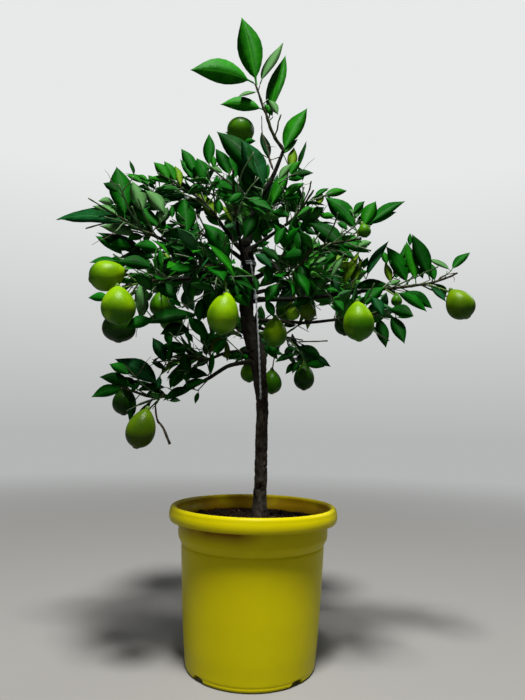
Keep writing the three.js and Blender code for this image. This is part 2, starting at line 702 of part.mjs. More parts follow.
const leastBy = (items, measure) => (
  items.reduce((best, item) => (measure(item) < measure(best) ? item : best))
);

const nearestWood = (twigs, goal) => (
  leastBy(woodPoints(twigs, CARRYING.from, CARRYING.to), ({ point }) => point.distanceTo(goal))
);

// A leaf ends at each listed tip, on a new twig where the wood is too far away
function growToTip(mass, foliage, coordinates) {
  const tip = place(coordinates);
  const missOf = ({ twig, share, point }) => {
    const along = tip.clone().sub(point).normalize();
    const backward = along.dot(directionOn(twig, share)) <= TIP_LEAF.backward;
    return backward ? Infinity : Math.abs(point.distanceTo(tip) - TIP_LEAF.length);
  };
  const close = leastBy(woodPoints(foliage.twigs, 0, 1), missOf);
  if (missOf(close) < TIP_LEAF.miss) {
    const along = tip.clone().sub(close.point).normalize();
    tryLeaf(mass, foliage, close.point, along, close.point.distanceTo(tip), false);
    return;
  }
  const { twig: parent, share, point } = nearestWood(foliage.twigs, tip);
  const along = tip.clone().sub(point).normalize();
  const end = tip.clone().addScaledVector(along, -TIP_LEAF.length);
  const twig = twigBetween(parent, Math.max(TIP_LEAF.lowest, share - TIP_LEAF.upstream), end);
  if (twigIsFree(mass, twig, false)) {
    foliage.twigs.push(twig);
    tryLeaf(mass, foliage, end, along, TIP_LEAF.length, false);
  }
}

// Filling twigs leave the stem in a spiral and end on a smaller copy of the mass's ellipsoid
function growFilling(mass, foliage) {
  const stem = foliage.twigs[0];
  const axis = stem.points[stem.points.length - 1].clone().sub(stem.points[0]).normalize();
  for (let k = 0; k < mass.twigs; k += 1) {
    const ahead = FILLING.behind + FILLING.span * (k + 0.5) / mass.twigs;
    const turn = k * GOLDEN_ANGLE + chance(mass.seed, k, DRAW.fan);
    const direction = squareTo(axis).applyAxisAngle(axis, turn)
      .multiplyScalar(Math.sqrt(1 - ahead * ahead))
      .addScaledVector(axis, ahead)
      .multiply(place(mass.radii));
    const share = FILLING.first + FILLING.spread * k / mass.twigs;
    const twig = FILLING.reaches
      .map(reach => twigBetween(stem, share, place(mass.centre).addScaledVector(direction, reach)))
      .find(candidate => candidate.length > FILLING.shortest && twigIsFree(mass, candidate, true));
    if (twig) {
      foliage.twigs.push(twig);
    }
  }
}

// A short side twig forks from the middle of each longer twig
function growForks(mass, foliage) {
  const parents = foliage.twigs.filter(twig => twig.length > FORK.parentLength && !twig.bare);
  parents.forEach((parent, index) => {
    const forward = directionOn(parent, FORK.share);
    const turn = index * 2 * GOLDEN_ANGLE + chance(mass.seed, index, DRAW.fork) * FORK.turns;
    const across = squareTo(forward).applyAxisAngle(forward, turn);
    const length = FORK.length + FORK.variety * chance(mass.seed, index, DRAW.forkLength);
    const end = pointOn(parent, FORK.share)
      .addScaledVector(forward, length * FORK.splay)
      .addScaledVector(across, length * FORK.splay);
    const twig = twigBetween(parent, FORK.share, end);
    if (twigIsFree(mass, twig, true)) {
      foliage.twigs.push(twig);
    }
  });
}

// Each fruit hangs on a stalk of its own from the nearest wood
function growStalk(foliage, fruit) {
  const hang = place(fruit.hang).normalize();
  const end = place(fruit.centre).addScaledVector(hang, -fruit.length * STALK.seat);
  const { twig: parent, share } = nearestWood(foliage.twigs, end);
  const start = pointOn(parent, Math.max(STALK.lowest, share - STALK.upstream));
  const length = start.distanceTo(end);
  const middle = end.clone().addScaledVector(hang, -length * STALK.bend);
  const points = curvedPoints(start, middle, end.clone().addScaledVector(hang, STALK.sunk));
  foliage.twigs.push({ points, radii: [TWIG.tipRadius, TWIG.tipRadius], length, bare: true });
}

function growDryTwig(foliage, route) {
  const rest = route.map(place);
  const { point } = nearestWood(foliage.twigs, rest[0]);
  const length = point.distanceTo(rest[rest.length - 1]);
  const radii = [DRY_TWIG_RADIUS, TWIG.tipRadius];
  foliage.twigs.push({ points: [point, ...rest], radii, length, bare: true });
}

// A leaf is a thin folded diamond whose root is an upright edge inside its twig
function leafSolid(leaf) {
  const halfThickness = leaf.length * LEAF.rootRatio;
  const corners = [
    leaf.root.clone().addScaledVector(leaf.normal, halfThickness),
    leaf.root.clone().addScaledVector(leaf.normal, -halfThickness),
    leafPoint(leaf, LEAF.widest, 1),
    leafPoint(leaf, LEAF.widest, -1),
    leafPoint(leaf, 1, 0),
  ];
  const faces = [0, 4, 3, 0, 2, 4, 1, 3, 4, 1, 4, 2, 0, 3, 1, 0, 1, 2];
  return solidFrom(corners.flatMap(corner => corner.toArray()), faces);
}

// A fruit is egg-shaped, with its outline given as shares of its width and length
const FRUIT_OUTLINE = [[0, -0.5], [0.34, -0.33], [0.5, 0.02], [0.36, 0.36], [0, 0.5]];
const FRUIT_SIDES = 8;

function fruitSolid({ centre, length, width, hang }) {
  const outline = FRUIT_OUTLINE.map(([across, along]) => new THREE.Vector2(across * width, along * length));
  const down = new THREE.Vector3(0, -1, 0);
  const turn = new THREE.Quaternion().setFromUnitVectors(down, place(hang).normalize());
  const geometry = new THREE.LatheGeometry(outline, FRUIT_SIDES).applyQuaternion(turn);
  geometry.translate(...centre);
  return solidOf(geometry);
}

const twigSolid = ({ points, radii }) => (
  limbSolid(points, taper(radii[0], radii[1], points.length), TWIG.sides)
);

function massSolid(mass, foliage) {
  const solids = [
    ...foliage.twigs.map(twigSolid),
    ...foliage.leaves.map(leafSolid),
    ...mass.fruits.map(fruitSolid),
  ];
  return largestBody(joined(solids));
}

function tieSolid(tail) {
  const { centre, radius } = trunkAt(TIE.ringHeight);
  const ringRadius = radius + TIE.radius + TIE.slack;
  const ring = new THREE.TorusGeometry(ringRadius, TIE.radius, TIE.sides, TIE.ringSegments);
  ring.translate(centre.x, 0, TIE.ringHeight);
  const knot = new THREE.SphereGeometry(TIE.knotRadius, TIE.sides + 1, TIE.sides - 1);
  knot.translate(...TIE.tail[1]);
  const tailSolid = limbSolid(tail, taper(TIE.radius, TIE.radius, tail.length), TIE.sides);
  return joined([solidOf(ring), tailSolid, solidOf(knot)]);
}

// Assembly

const tree = new THREE.Group();
tree.add(meshOf('pot', potSolid(), potFinish));
tree.add(meshOf('soil', soilSolid(), soilFinish));
tree.add(meshOf('trunk', trunkSolid(), barkFinish));
addObstacle(trunkLine, TRUNK_STATIONS.map(({ radius }) => radius));

const tieTail = TIE.tail.map(place);
tree.add(meshOf('tie_string', tieSolid(tieTail), stringFinish));
addObstacle(tieTail, taper(TIE.radius, TIE.radius, tieTail.length));

// Each bough starts inside the trunk and is cut back to just clear of it
const boughs = {};
const trunkClearance = trunkSolid(GAP);
for (const [name, bough] of Object.entries(BOUGHS)) {
  const points = boughPath(bough);
  const radii = taper(bough.radii[0], bough.radii[1], points.length);
  boughs[name] = { points, radii };
  addObstacle(points, radii);
  const solid = largestBody(limbSolid(points, radii, BOUGH.sides).subtract(trunkClearance));
  tree.add(meshOf(`bough_${name}`, solid, barkFinish));
}

for (const { centre, length, width, hang } of MASSES.flatMap(mass => mass.fruits)) {
  const half = place(hang).normalize().multiplyScalar((length - width) / 2);
  const ends = [place(centre).sub(half), place(centre).add(half)];
  addObstacle(ends, [width / 2, width / 2]);
}

// Stems and stalks come first in every mass, so that all other twigs and leaves keep clear of them
const foliages = new Map();
for (const mass of MASSES) {
  const foliage = { twigs: [stemOf(mass, boughs[mass.name])], leaves: [], tries: 0 };
  foliages.set(mass, foliage);
  mass.fruits.forEach(fruit => growStalk(foliage, fruit));
  if (mass.dryTwig) {
    growDryTwig(foliage, mass.dryTwig);
  }
  foliage.twigs.forEach(({ points, radii }) => {
    addObstacle(points, taper(radii[0], radii[1], points.length), mass.name);
  });
}
for (const [mass, foliage] of foliages) {
  mass.tips.forEach(tip => growToTip(mass, foliage, tip));
  growFilling(mass, foliage);
  growForks(mass, foliage);
  const leafy = foliage.twigs.filter(twig => !twig.bare && !mass.open);
  leafy.forEach((twig, index) => leafTwig(mass, foliage, twig, index === 0 ? STEM.bare : STEM.twigBare));
  tree.add(meshOf(`foliage_${mass.name}`, massSolid(mass, foliage), leafFinish));
}

export default tree;
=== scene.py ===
# A potted limequat tree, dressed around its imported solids: round plastic pot, potting mix,
# barky trunk and boughs, and sprays of twigs, leaves and fruit grown by the rule of the solids.
# Lengths in the dictionaries are millimetres; meshes are made in metres.

import math

import bpy
import numpy as np
from mathutils import Euler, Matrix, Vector


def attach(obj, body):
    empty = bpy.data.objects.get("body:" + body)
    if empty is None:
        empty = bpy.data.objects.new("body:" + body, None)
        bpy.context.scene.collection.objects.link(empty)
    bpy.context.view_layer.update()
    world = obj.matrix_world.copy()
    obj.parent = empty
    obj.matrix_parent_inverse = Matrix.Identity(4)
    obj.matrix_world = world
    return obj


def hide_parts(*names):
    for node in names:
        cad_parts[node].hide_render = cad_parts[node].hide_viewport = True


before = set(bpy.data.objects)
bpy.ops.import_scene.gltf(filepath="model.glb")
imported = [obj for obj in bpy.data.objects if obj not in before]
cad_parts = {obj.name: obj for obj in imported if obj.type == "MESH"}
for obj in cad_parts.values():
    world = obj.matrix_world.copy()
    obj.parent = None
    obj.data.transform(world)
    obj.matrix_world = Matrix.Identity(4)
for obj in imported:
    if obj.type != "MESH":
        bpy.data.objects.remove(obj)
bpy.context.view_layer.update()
nodeNames = sorted(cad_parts)
mm = 0.001
fullTurn = 2 * math.pi
upward = np.array([0.0, 0.0, 1.0])
print("frame loaded:", len(nodeNames), "nodes")


# Numbers and curves

mixing = {"primes": (374761393, 668265263, 974634777), "last": 1274126177, "seedStep": 40503}
wordMask = 0xFFFFFFFF


# Bits mixed within 32 of them, as a number from 0 to 1
def scrambled(bits):
    bits = bits & wordMask
    bits = ((bits ^ (bits >> 13)) * mixing["last"]) & wordMask
    return (bits ^ (bits >> 16)) / 2**32


# A repeatable number from 0 to 1 for a seed, a counter and the number of the draw
def chance(seed, counter, draw):
    values = seed, counter + 1, draw + 1
    first, second, third = (value * prime & wordMask for value, prime in zip(values, mixing["primes"]))
    return scrambled(first ^ second ^ third)


# Smooth noise from 0 to 1: random values on a cubic lattice, blended with eased weights
def lumps(points, size, seed):
    scaled = points / size
    cell = np.floor(scaled).astype(np.int64)
    part = scaled - cell
    part = part * part * (3 - 2 * part)
    total = np.zeros(points.shape[:-1])
    for corner in np.ndindex(2, 2, 2):
        weight = np.prod(np.where(corner, part, 1 - part), axis=-1)
        total += weight * scrambled((cell + corner) @ np.array(mixing["primes"]) + seed * mixing["seedStep"])
    return total


def unit(vectors):
    return vectors / np.linalg.norm(vectors, axis=-1, keepdims=True)


# Any unit vector square to the one given
def squareTo(direction):
    helper = np.array([1.0, 0, 0]) if abs(direction[2]) > 0.9 else upward
    return unit(np.cross(helper, direction))


# A vector turned about a unit axis by an angle
def turned(vector, axis, angle):
    along = axis * np.dot(axis, vector) * (1 - math.cos(angle))
    return vector * math.cos(angle) + np.cross(axis, vector) * math.sin(angle) + along


# Points on the smooth curve through the stations: centripetal spline, even in its parameter
def splinePoints(stations, steps):
    stations = np.array(stations, float)
    padded = np.vstack([2 * stations[0] - stations[1], stations, 2 * stations[-1] - stations[-2]])
    place = np.linspace(0, len(stations) - 1, steps + 1)
    first = np.minimum(place.astype(int), len(stations) - 2)
    part = (place - first)[:, None]
    a, b, c, d = (padded[first + shift] for shift in range(4))
    gaps = [np.sqrt(np.linalg.norm(q - p, axis=1, keepdims=True)) for p, q in ((a, b), (b, c), (c, d))]
    startSlope = ((b - a) / gaps[0] - (c - a) / (gaps[0] + gaps[1]) + (c - b) / gaps[1]) * gaps[1]
    endSlope = ((c - b) / gaps[1] - (d - b) / (gaps[1] + gaps[2]) + (d - c) / gaps[2]) * gaps[1]
    square = -3 * b + 3 * c - 2 * startSlope - endSlope
    cube = 2 * b - 2 * c + startSlope + endSlope
    return b + startSlope * part + square * part**2 + cube * part**3


def pathLength(points):
    return np.linalg.norm(np.diff(points, axis=0), axis=1).sum()


# Points spaced evenly along a path, a given distance apart
def evenly(points, spacing):
    travelled = np.concatenate([[0], np.cumsum(np.linalg.norm(np.diff(points, axis=0), axis=1))])
    places = np.linspace(0, travelled[-1], max(3, int(travelled[-1] / spacing) + 1))
    return np.stack([np.interp(places, travelled, points[:, axis]) for axis in range(3)], axis=1)


# A path moved a little sideways by noise, less near its ends, and how far along each point is;
# the noise is read along a row of its own, with a gap between the three axes
def crooked(path, shift, size, seed, row, gap):
    travelled = np.linspace(0, pathLength(path), len(path))
    held = np.minimum(1, np.minimum(travelled, travelled[::-1]) / size)
    waves = [
        lumps(np.stack([travelled, travelled * 0 + row, travelled * 0 + axis * gap], axis=1), size, seed)
        for axis in range(3)
    ]
    return path + np.stack([shift * (wave - 0.5) * 2 * held for wave in waves], axis=1), travelled


# Meshes. A part is a dictionary of points, four-cornered and three-cornered faces, and the
# slot of each face, with a uv or a tone for each point where it has one.

noQuads = np.zeros((0, 4), int)
noTriangles = np.zeros((0, 3), int)


def makePart(points, quads=noQuads, triangles=noTriangles, quadSlots=None, triangleSlots=None, **layers):
    return {
        "points": points, "quads": quads, "triangles": triangles,
        "quadSlots": np.zeros(len(quads), int) if quadSlots is None else quadSlots,
        "triangleSlots": np.zeros(len(triangles), int) if triangleSlots is None else triangleSlots,
        **layers,
    }


def joinParts(parts):
    offsets = np.cumsum([0] + [len(part["points"]) for part in parts[:-1]])
    joined = {}
    for key in parts[0]:
        shifts = offsets if key in ("quads", "triangles") else [0] * len(parts)
        joined[key] = np.concatenate([part[key] + shift for part, shift in zip(parts, shifts)])
    return joined


# One object from a part in millimetres
def makePiece(name, part, materials, sharpAngle=None):
    mesh = bpy.data.meshes.new(name)
    corners = np.concatenate([part["quads"].ravel(), part["triangles"].ravel()])
    sizes = np.repeat([4, 3], [len(part["quads"]), len(part["triangles"])])
    mesh.vertices.add(len(part["points"]))
    mesh.vertices.foreach_set("co", (part["points"] * mm).astype(np.float32).ravel())
    mesh.loops.add(len(corners))
    mesh.loops.foreach_set("vertex_index", corners.astype(np.int32))
    mesh.polygons.add(len(sizes))
    mesh.polygons.foreach_set("loop_start", (np.cumsum(sizes) - sizes).astype(np.int32))
    for material in materials:
        mesh.materials.append(material)
    slots = np.concatenate([part["quadSlots"], part["triangleSlots"]])
    mesh.polygons.foreach_set("material_index", slots.astype(np.int32))
    mesh.update(calc_edges=True)
    if "uv" in part:
        layer = mesh.uv_layers.new(name="own")
        layer.uv.foreach_set("vector", part["uv"][corners].astype(np.float32).ravel())
    if "tone" in part:
        tone = mesh.attributes.new("tone", "FLOAT", "POINT")
        tone.data.foreach_set("value", part["tone"].astype(np.float32))
    mesh.validate()
    mesh.shade_smooth()
    if sharpAngle:
        mesh.set_sharp_from_angle(angle=math.radians(sharpAngle))
    piece = bpy.data.objects.new(name, mesh)
    bpy.context.scene.collection.objects.link(piece)
    return piece


def finishPiece(piece, slot, *replacedNodes):
    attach(piece, "root")
    if replacedNodes:
        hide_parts(*replacedNodes)


# A closed part from rings of points: the last ring meets the next, and a fan at each end
# closes onto a pole
def ringedPart(rings, poles, **layers):
    rows, columns = rings.shape[:2]
    row, column = np.meshgrid(np.arange(rows - 1), np.arange(columns), indexing="ij")
    beside = (column + 1) % columns
    faces = [row * columns + column, row * columns + beside, (row + 1) * columns + beside]
    quads = np.stack([*faces, (row + 1) * columns + column], axis=-1).reshape(-1, 4)
    column, beside = column[0], beside[0]
    first, last = rows * columns, (rows - 1) * columns
    lowFan = np.stack([np.full(columns, first), beside, column], axis=1)
    highFan = np.stack([np.full(columns, first + 1), last + column, last + beside], axis=1)
    points = np.concatenate([rings.reshape(-1, 3), poles])
    return makePart(points, quads, np.concatenate([lowFan, highFan]), **layers)


# A closed tube: rings square to the path, with a radius for each ring and each side of it
def tubePart(path, radii, sides, tones=None, helper=None):
    tangents = unit(np.gradient(path, axis=0))
    if helper is None:
        helper = np.eye(3)[np.argmin(np.abs(tangents.mean(axis=0)))]
    across = unit(helper - tangents * (tangents @ helper)[:, None])
    other = np.cross(tangents, across)
    angles = np.arange(sides) * fullTurn / sides
    radii = np.asarray(radii, float)
    radii = np.broadcast_to(radii if radii.ndim == 2 else radii.reshape(-1, 1), (len(path), sides))
    circle = np.cos(angles)[:, None] * across[:, None] + np.sin(angles)[:, None] * other[:, None]
    layers = {} if tones is None else {"tone": np.concatenate([tones.ravel(), [0.5, 0.5]])}
    return ringedPart(path[:, None] + circle * radii[:, :, None], path[[0, -1]], **layers)


# A turned surface from an outline of radius and height, which starts and ends on the axis
def turnedPart(outline, sides, tones=None):
    angles = np.arange(sides) * fullTurn / sides
    radii = outline[1:-1, :1]
    heights = np.repeat(outline[1:-1, 1:], sides, axis=1)
    rings = np.stack([radii * np.cos(angles), radii * np.sin(angles), heights], axis=-1)
    poles = [[0, 0, outline[0, 1]], [0, 0, outline[-1, 1]]]
    layers = {} if tones is None else {"tone": np.append(np.repeat(tones[1:-1], sides), tones[[0, -1]])}
    return ringedPart(rings, poles, **layers)


# Shader nodes and materials

# Each socket of a node takes a value or another node's output
def setSockets(tree, node, sockets):
    for name, value in sockets.items():
        if isinstance(value, bpy.types.NodeSocket):
            tree.links.new(value, node.inputs[name])
        else:
            node.inputs[name].default_value = value


def addNode(tree, kind, sockets, **settings):
    node = tree.nodes.new("ShaderNode" + kind)
    for name, value in settings.items():
        setattr(node, name, value)
    setSockets(tree, node, sockets)
    return node.outputs


def mapped(tree, value, low, high, **settings):
    sockets = {"Value": value, "From Min": low, "From Max": high}
    return addNode(tree, "MapRange", sockets, **settings)["Result"]


def product(tree, first, second):
    return addNode(tree, "Math", {0: first, 1: second}, operation="MULTIPLY")["Value"]


def mixed(tree, factor, first, second):
    sockets = {"Factor": factor, "A": first, "B": second}
    return addNode(tree, "Mix", sockets, data_type="RGBA")["Result"]


# Lays another colour over what feeds Base Color, by a mask
def overlay(tree, mask, tint):
    base = tree.nodes["Principled BSDF"].inputs["Base Color"]
    tree.links.new(mixed(tree, mask, base.links[0].from_socket, (*tint, 1)), base)


def storedTone(tree):
    return addNode(tree, "Attribute", {}, attribute_name="tone")["Fac"]


def newGroup(name, inputs, outputs):
    group = bpy.data.node_groups.new(name, "ShaderNodeTree")
    for direction, sockets in (("INPUT", inputs), ("OUTPUT", outputs)):
        for socketName, kind in sockets.items():
            group.interface.new_socket(socketName, in_out=direction, socket_type="NodeSocket" + kind)
    return group, group.nodes.new("NodeGroupInput").outputs, group.nodes.new("NodeGroupOutput")


# Patchy colour: noise at the given scale mixes a dark and a light colour
def mottleGroup():
    inputs = {
        "Vector": "Vector", "Scale": "Float", "Low": "Float", "High": "Float", "Dark": "Color",
        "Light": "Color",
    }
    group, given, result = newGroup("mottle", inputs, {"Color": "Color", "Mask": "Float"})
    noise = addNode(group, "TexNoise", {"Vector": given["Vector"], "Scale": given["Scale"], "Detail": 4})
    mask = mapped(group, noise["Fac"], given["Low"], given["High"])
    colour = mixed(group, mask, given["Dark"], given["Light"])
    setSockets(group, result, {"Color": colour, "Mask": mask})
    return group


# Fine roughness of a surface: noise at the given scale bends the normal
def grainGroup():
    inputs = {"Vector": "Vector", "Scale": "Float", "Depth": "Float"}
    group, given, result = newGroup("surfaceGrain", inputs, {"Normal": "Vector"})
    noise = addNode(group, "TexNoise", {"Vector": given["Vector"], "Scale": given["Scale"], "Detail": 3})
    bump = addNode(group, "Bump", {"Height": noise["Fac"], "Strength": given["Depth"], "Distance": mm})
    setSockets(group, result, {"Normal": bump["Normal"]})
    return group


mottle = mottleGroup()
surfaceGrain = grainGroup()
usualLook = {"specular": 0.5, "low": 0.35, "high": 0.65}


# A material with patchy colour and a fine grain, both on Object coordinates. It comes with the
# sockets of its place and of the patches' mask.
def newMaterial(name, look):
    look = {**usualLook, **look}
    material = bpy.data.materials.new(name)
    material.use_nodes = True
    tree = material.node_tree
    place = addNode(tree, "TexCoord", {})["Object"]
    colour = addNode(tree, "Group", node_tree=mottle, sockets={
        "Vector": place, "Scale": look["patchScale"], "Low": look["low"], "High": look["high"],
        "Dark": (*look["dark"], 1), "Light": (*look["light"], 1),
    })
    grain = addNode(tree, "Group", node_tree=surfaceGrain, sockets={
        "Vector": place, "Scale": look["grainScale"], "Depth": look["grainDepth"],
    })
    setSockets(tree, tree.nodes["Principled BSDF"], {
        "Roughness": look["roughness"], "Specular IOR Level": look["specular"],
        "Base Color": colour["Color"], "Normal": grain["Normal"],
    })
    return material, place, colour["Mask"]


def plainMaterial(name, look):
    return newMaterial(name, look)[0]


# Camera, light and floor

view = {
    "place": (6.6, -669, 274.5),
    "pitch": 97.79,
    "roll": 1.27,
    "focalLength": 540,  # in pixels of a picture 700 tall
    "pictureHeight": 700,
    "sensor": 36,
    "nearest": 0.01,
    "furthest": 60,
}
studio = {
    "lamps": [  # name, place, target, size, watts, colour
        ("keyLamp", (40, -940, 2660), (0, 0, 300), 480, 150, (1, 0.985, 0.95)),
        ("frontLamp", (-1300, -2500, 1900), (0, 0, 400), 1500, 7, (1, 1, 1)),
        ("rimLamp", (1900, 1400, 1900), (0, 0, 450), 1000, 12, (0.95, 0.98, 1)),
    ],
    "air": (0.86, 0.87, 0.87, 1),
    "airStrength": 0.13,
    "backdropLow": (0.46, 0.47, 0.465, 1),
    "backdropHigh": (0.80, 0.82, 0.81, 1),
    "backdropRise": (-0.02, 0.42),
    "floorHalf": 9000,
    "floorFade": (0.5, 2.6),  # metres from the middle, where the floor takes the backdrop's tone
}
floorLook = {
    "roughness": 0.9, "specular": 0.1, "patchScale": 3, "grainScale": 400, "grainDepth": 0.05,
    "dark": (0.225, 0.222, 0.216), "light": (0.225, 0.222, 0.216),
}


def makeCamera():
    data = bpy.data.cameras.new("camera")
    data.sensor_width = view["sensor"]
    data.lens = view["focalLength"] / view["pictureHeight"] * view["sensor"]
    data.clip_start = view["nearest"]
    data.clip_end = view["furthest"]
    camera = bpy.data.objects.new("camera", data)
    camera.location = [value * mm for value in view["place"]]
    turn = Euler((math.radians(view["pitch"]), 0, 0)).to_matrix()
    turn = turn @ Euler((0, 0, math.radians(view["roll"]))).to_matrix()
    camera.rotation_euler = turn.to_euler()
    bpy.context.scene.collection.objects.link(camera)
    bpy.context.scene.camera = camera


def makeStudio():
    for name, place, target, size, watts, colour in studio["lamps"]:
        data = bpy.data.lights.new(name, "AREA")
        data.shape = "DISK"
        data.size = size * mm
        data.energy = watts
        data.color = colour
        lamp = bpy.data.objects.new(name, data)
        lamp.location = [value * mm for value in place]
        aim = Vector(target) - Vector(place)
        lamp.rotation_euler = aim.to_track_quat("-Z", "Y").to_euler()
        bpy.context.scene.collection.objects.link(lamp)
    makeAir()
    makeFloor()
    bpy.context.scene.view_settings.view_transform = "Standard"


# Even light from all round. The camera sees a pale backdrop instead, a little lighter higher up.
def makeAir():
    world = bpy.data.worlds.new("air")
    world.use_nodes = True
    tree = world.node_tree
    air = tree.nodes["Background"]
    setSockets(tree, air, {"Color": studio["air"], "Strength": studio["airStrength"]})
    direction = addNode(tree, "SeparateXYZ", {"Vector": addNode(tree, "TexCoord", {})["Generated"]})
    rise = mapped(tree, direction["Z"], *studio["backdropRise"])
    tone = mixed(tree, rise, studio["backdropLow"], studio["backdropHigh"])
    backdrop = addNode(tree, "Background", {"Color": tone})["Background"]
    seen = addNode(tree, "LightPath", {})["Is Camera Ray"]
    either = addNode(tree, "MixShader", {"Fac": seen, 1: air.outputs["Background"], 2: backdrop})
    setSockets(tree, tree.nodes["World Output"], {"Surface": either["Shader"]})
    bpy.context.scene.world = world


# The floor glows in the backdrop's tone far out, so that no edge shows where they meet
def makeFloor():
    half = studio["floorHalf"]
    corners = np.array([[-half, -half, 0], [half, -half, 0], [half, half, 0], [-half, half, 0]], float)
    paint, place, _ = newMaterial("floorPaint", floorLook)
    tree = paint.node_tree
    distance = addNode(tree, "VectorMath", {0: place}, operation="LENGTH")["Value"]
    fade = mapped(tree, distance, *studio["floorFade"], interpolation_type="SMOOTHSTEP")
    seen = addNode(tree, "LightPath", {})["Is Camera Ray"]
    glow = addNode(tree, "Emission", {"Color": studio["backdropLow"]})["Emission"]
    usual = tree.nodes["Principled BSDF"].outputs["BSDF"]
    either = addNode(tree, "MixShader", {"Fac": product(tree, fade, seen), 1: usual, 2: glow})
    setSockets(tree, tree.nodes["Material Output"], {"Surface": either["Shader"]})
    floor = makePiece("floor", makePart(corners, np.array([[0, 1, 2, 3]])), [paint])


makeCamera()
makeStudio()
print("camera, lamps and floor set")


# Pot

pot = {
    "height": 178.4,
    "rimRadius": 100,
    "rollRadius": 4.5,
    "lipBottom": 161.9,
    "lipFace": (162.7, 173.9),  # heights
    "lipBulge": 1.1,
    "wall": 2.2,
    "foot": 70.5,
    "footFillet": 4.5,
    "lines": [(4.9, 0.35, 0.9), (135.6, 0.9, 1.2)],  # height, depth and half width where moulded
    "lineRows": (4.6, 5.2, 134.6, 135.1, 135.6, 136.1, 136.6),
    "wallStep": 1.6,
    "rows": (7, 7, 15),  # on the fillet, the lip's face and its roll
    "outside": [  # height and radius
        (4.5, 75), (13, 75.8), (26, 77.3), (39, 78.4), (65, 80.4), (99, 82.4), (112, 83.2),
        (134.5, 84.4), (137, 84.9), (140, 86.4), (143, 87.9), (145, 88.4), (161.9, 88.5),
    ],
    "insideHeights": (159, 150, 144, 136.4, 90, 50, 8.2),
    "underside": [(0, 0), (30, 0), (69.5, 0)],  # radius and height, also below
    "underLip": [
        (88.5, 161.9), (88.5, 165.7), (89.3, 166.5), (97, 166.5), (97.8, 165.7), (97.8, 162.3),
        (98.2, 161.9), (98.5, 161.9),
    ],
    "throat": [(90.4, 171), (89.5, 169), (88.4, 167), (87.4, 165), (86.7, 162.5)],
    "bottom": [(68.5, 6.7), (30, 6.7), (0, 6.7)],
    "sides": 192,
    "sharpAngle": 38,
}
drains = {"count": 4, "turn": -47, "depth": 9, "halfWidth": 9, "height": 6.5, "rows": 9, "fullness": 0.6}
plastic = {
    "roughness": 0.36, "specular": 0.08, "patchScale": 7, "low": 0.3, "high": 0.7,
    "dark": (0.41, 0.36, 0.0002), "light": (0.48, 0.43, 0.0003), "grainScale": 900, "grainDepth": 0.06,
}
potScuffs = {"colour": (0.24, 0.19, 0.002), "scale": 14, "patches": (0.6, 0.8), "strength": 0.35}
potDirt = {"colour": (0.27, 0.165, 0.002), "scale": 38, "patches": (0.15, 0.5), "rise": (0.1795, 0.175)}
potMark = {  # brown, under the lip, left of the middle
    "colour": (0.15, 0.055, 0.001), "patches": (0.25, 0.60),
    "edges": [("Z", 0.147, 0.160), ("X", 0.012, -0.015), ("Z", 0.1630, 0.1615)],
}


def outsideRadius(heights):
    return np.interp(heights, *zip(*pot["outside"]))


# The outline runs from the underside's centre out, round the foot, up the wall with a small dip
# at each moulded line, over the lip and back down the inside. The lip's face bulges as a
# parabola and leans back as it rolls over in a half circle.
def potOutline():
    filletRows, faceRows, rollRows = pot["rows"]
    fillet = np.linspace(-math.pi / 2, 0, filletRows)[:-1]
    heights = np.arange(pot["footFillet"], pot["lipBottom"], pot["wallStep"])
    heights = np.sort(np.append(heights, pot["lineRows"]))
    dips = sum(depth * np.exp(-((heights - height) / half) ** 2) for height, depth, half in pot["lines"])
    bulge = pot["lipBulge"] * (1 - np.linspace(-1, 1, faceRows) ** 2)
    arc = np.linspace(0, math.pi, rollRows)[1:]
    lean = np.linspace(pot["lipBulge"], 0, len(arc))
    inside = np.array(pot["insideHeights"])
    columns = [
        (pot["foot"] + pot["footFillet"] * np.cos(fillet), pot["footFillet"] * (1 + np.sin(fillet))),
        (outsideRadius(heights) - dips, heights),
        zip(*pot["underLip"]),
        (pot["rimRadius"] - pot["lipBulge"] + bulge, np.linspace(*pot["lipFace"], faceRows)),
        (pot["rimRadius"] - pot["rollRadius"] * (1 - np.cos(arc)) - lean,
         pot["height"] - pot["rollRadius"] * (1 - np.sin(arc))),
        zip(*pot["throat"]),
        (outsideRadius(inside) - pot["wall"], inside),
    ]
    rows = [np.stack([*pair], axis=1) for pair in columns]
    return np.concatenate([pot["underside"], *rows, pot["bottom"]])


# Each drain notch is cut by a prism under an arch that stands across the foot
def cutDrains(piece):
    angles = np.linspace(0, math.pi, drains["rows"])
    half, height = drains["halfWidth"], drains["height"]
    arch = np.stack([half * np.cos(angles), height * np.sin(angles) ** drains["fullness"]], axis=1)
    arch = np.concatenate([[[half, -height]], arch, [[-half, -height]]])
    foot = pot["foot"] + pot["footFillet"]
    for number in range(drains["count"]):
        turn = math.radians(drains["turn"]) + fullTurn / drains["count"] * number
        outward = np.array([math.cos(turn), math.sin(turn), 0])
        section = np.cross(upward, outward) * arch[:, :1] + upward * arch[:, 1:]
        rings = np.stack([section + outward * (foot + side * drains["depth"]) for side in (-1, 1)])
        cutter = makePiece("drainCutter", ringedPart(rings, rings.mean(axis=1)), [])
        hole = piece.modifiers.new("drain", "BOOLEAN")
        hole.object = cutter
        hole.operation = "DIFFERENCE"
        bpy.context.view_layer.objects.active = piece
        bpy.ops.object.modifier_apply(modifier=hole.name)
        bpy.data.objects.remove(cutter)


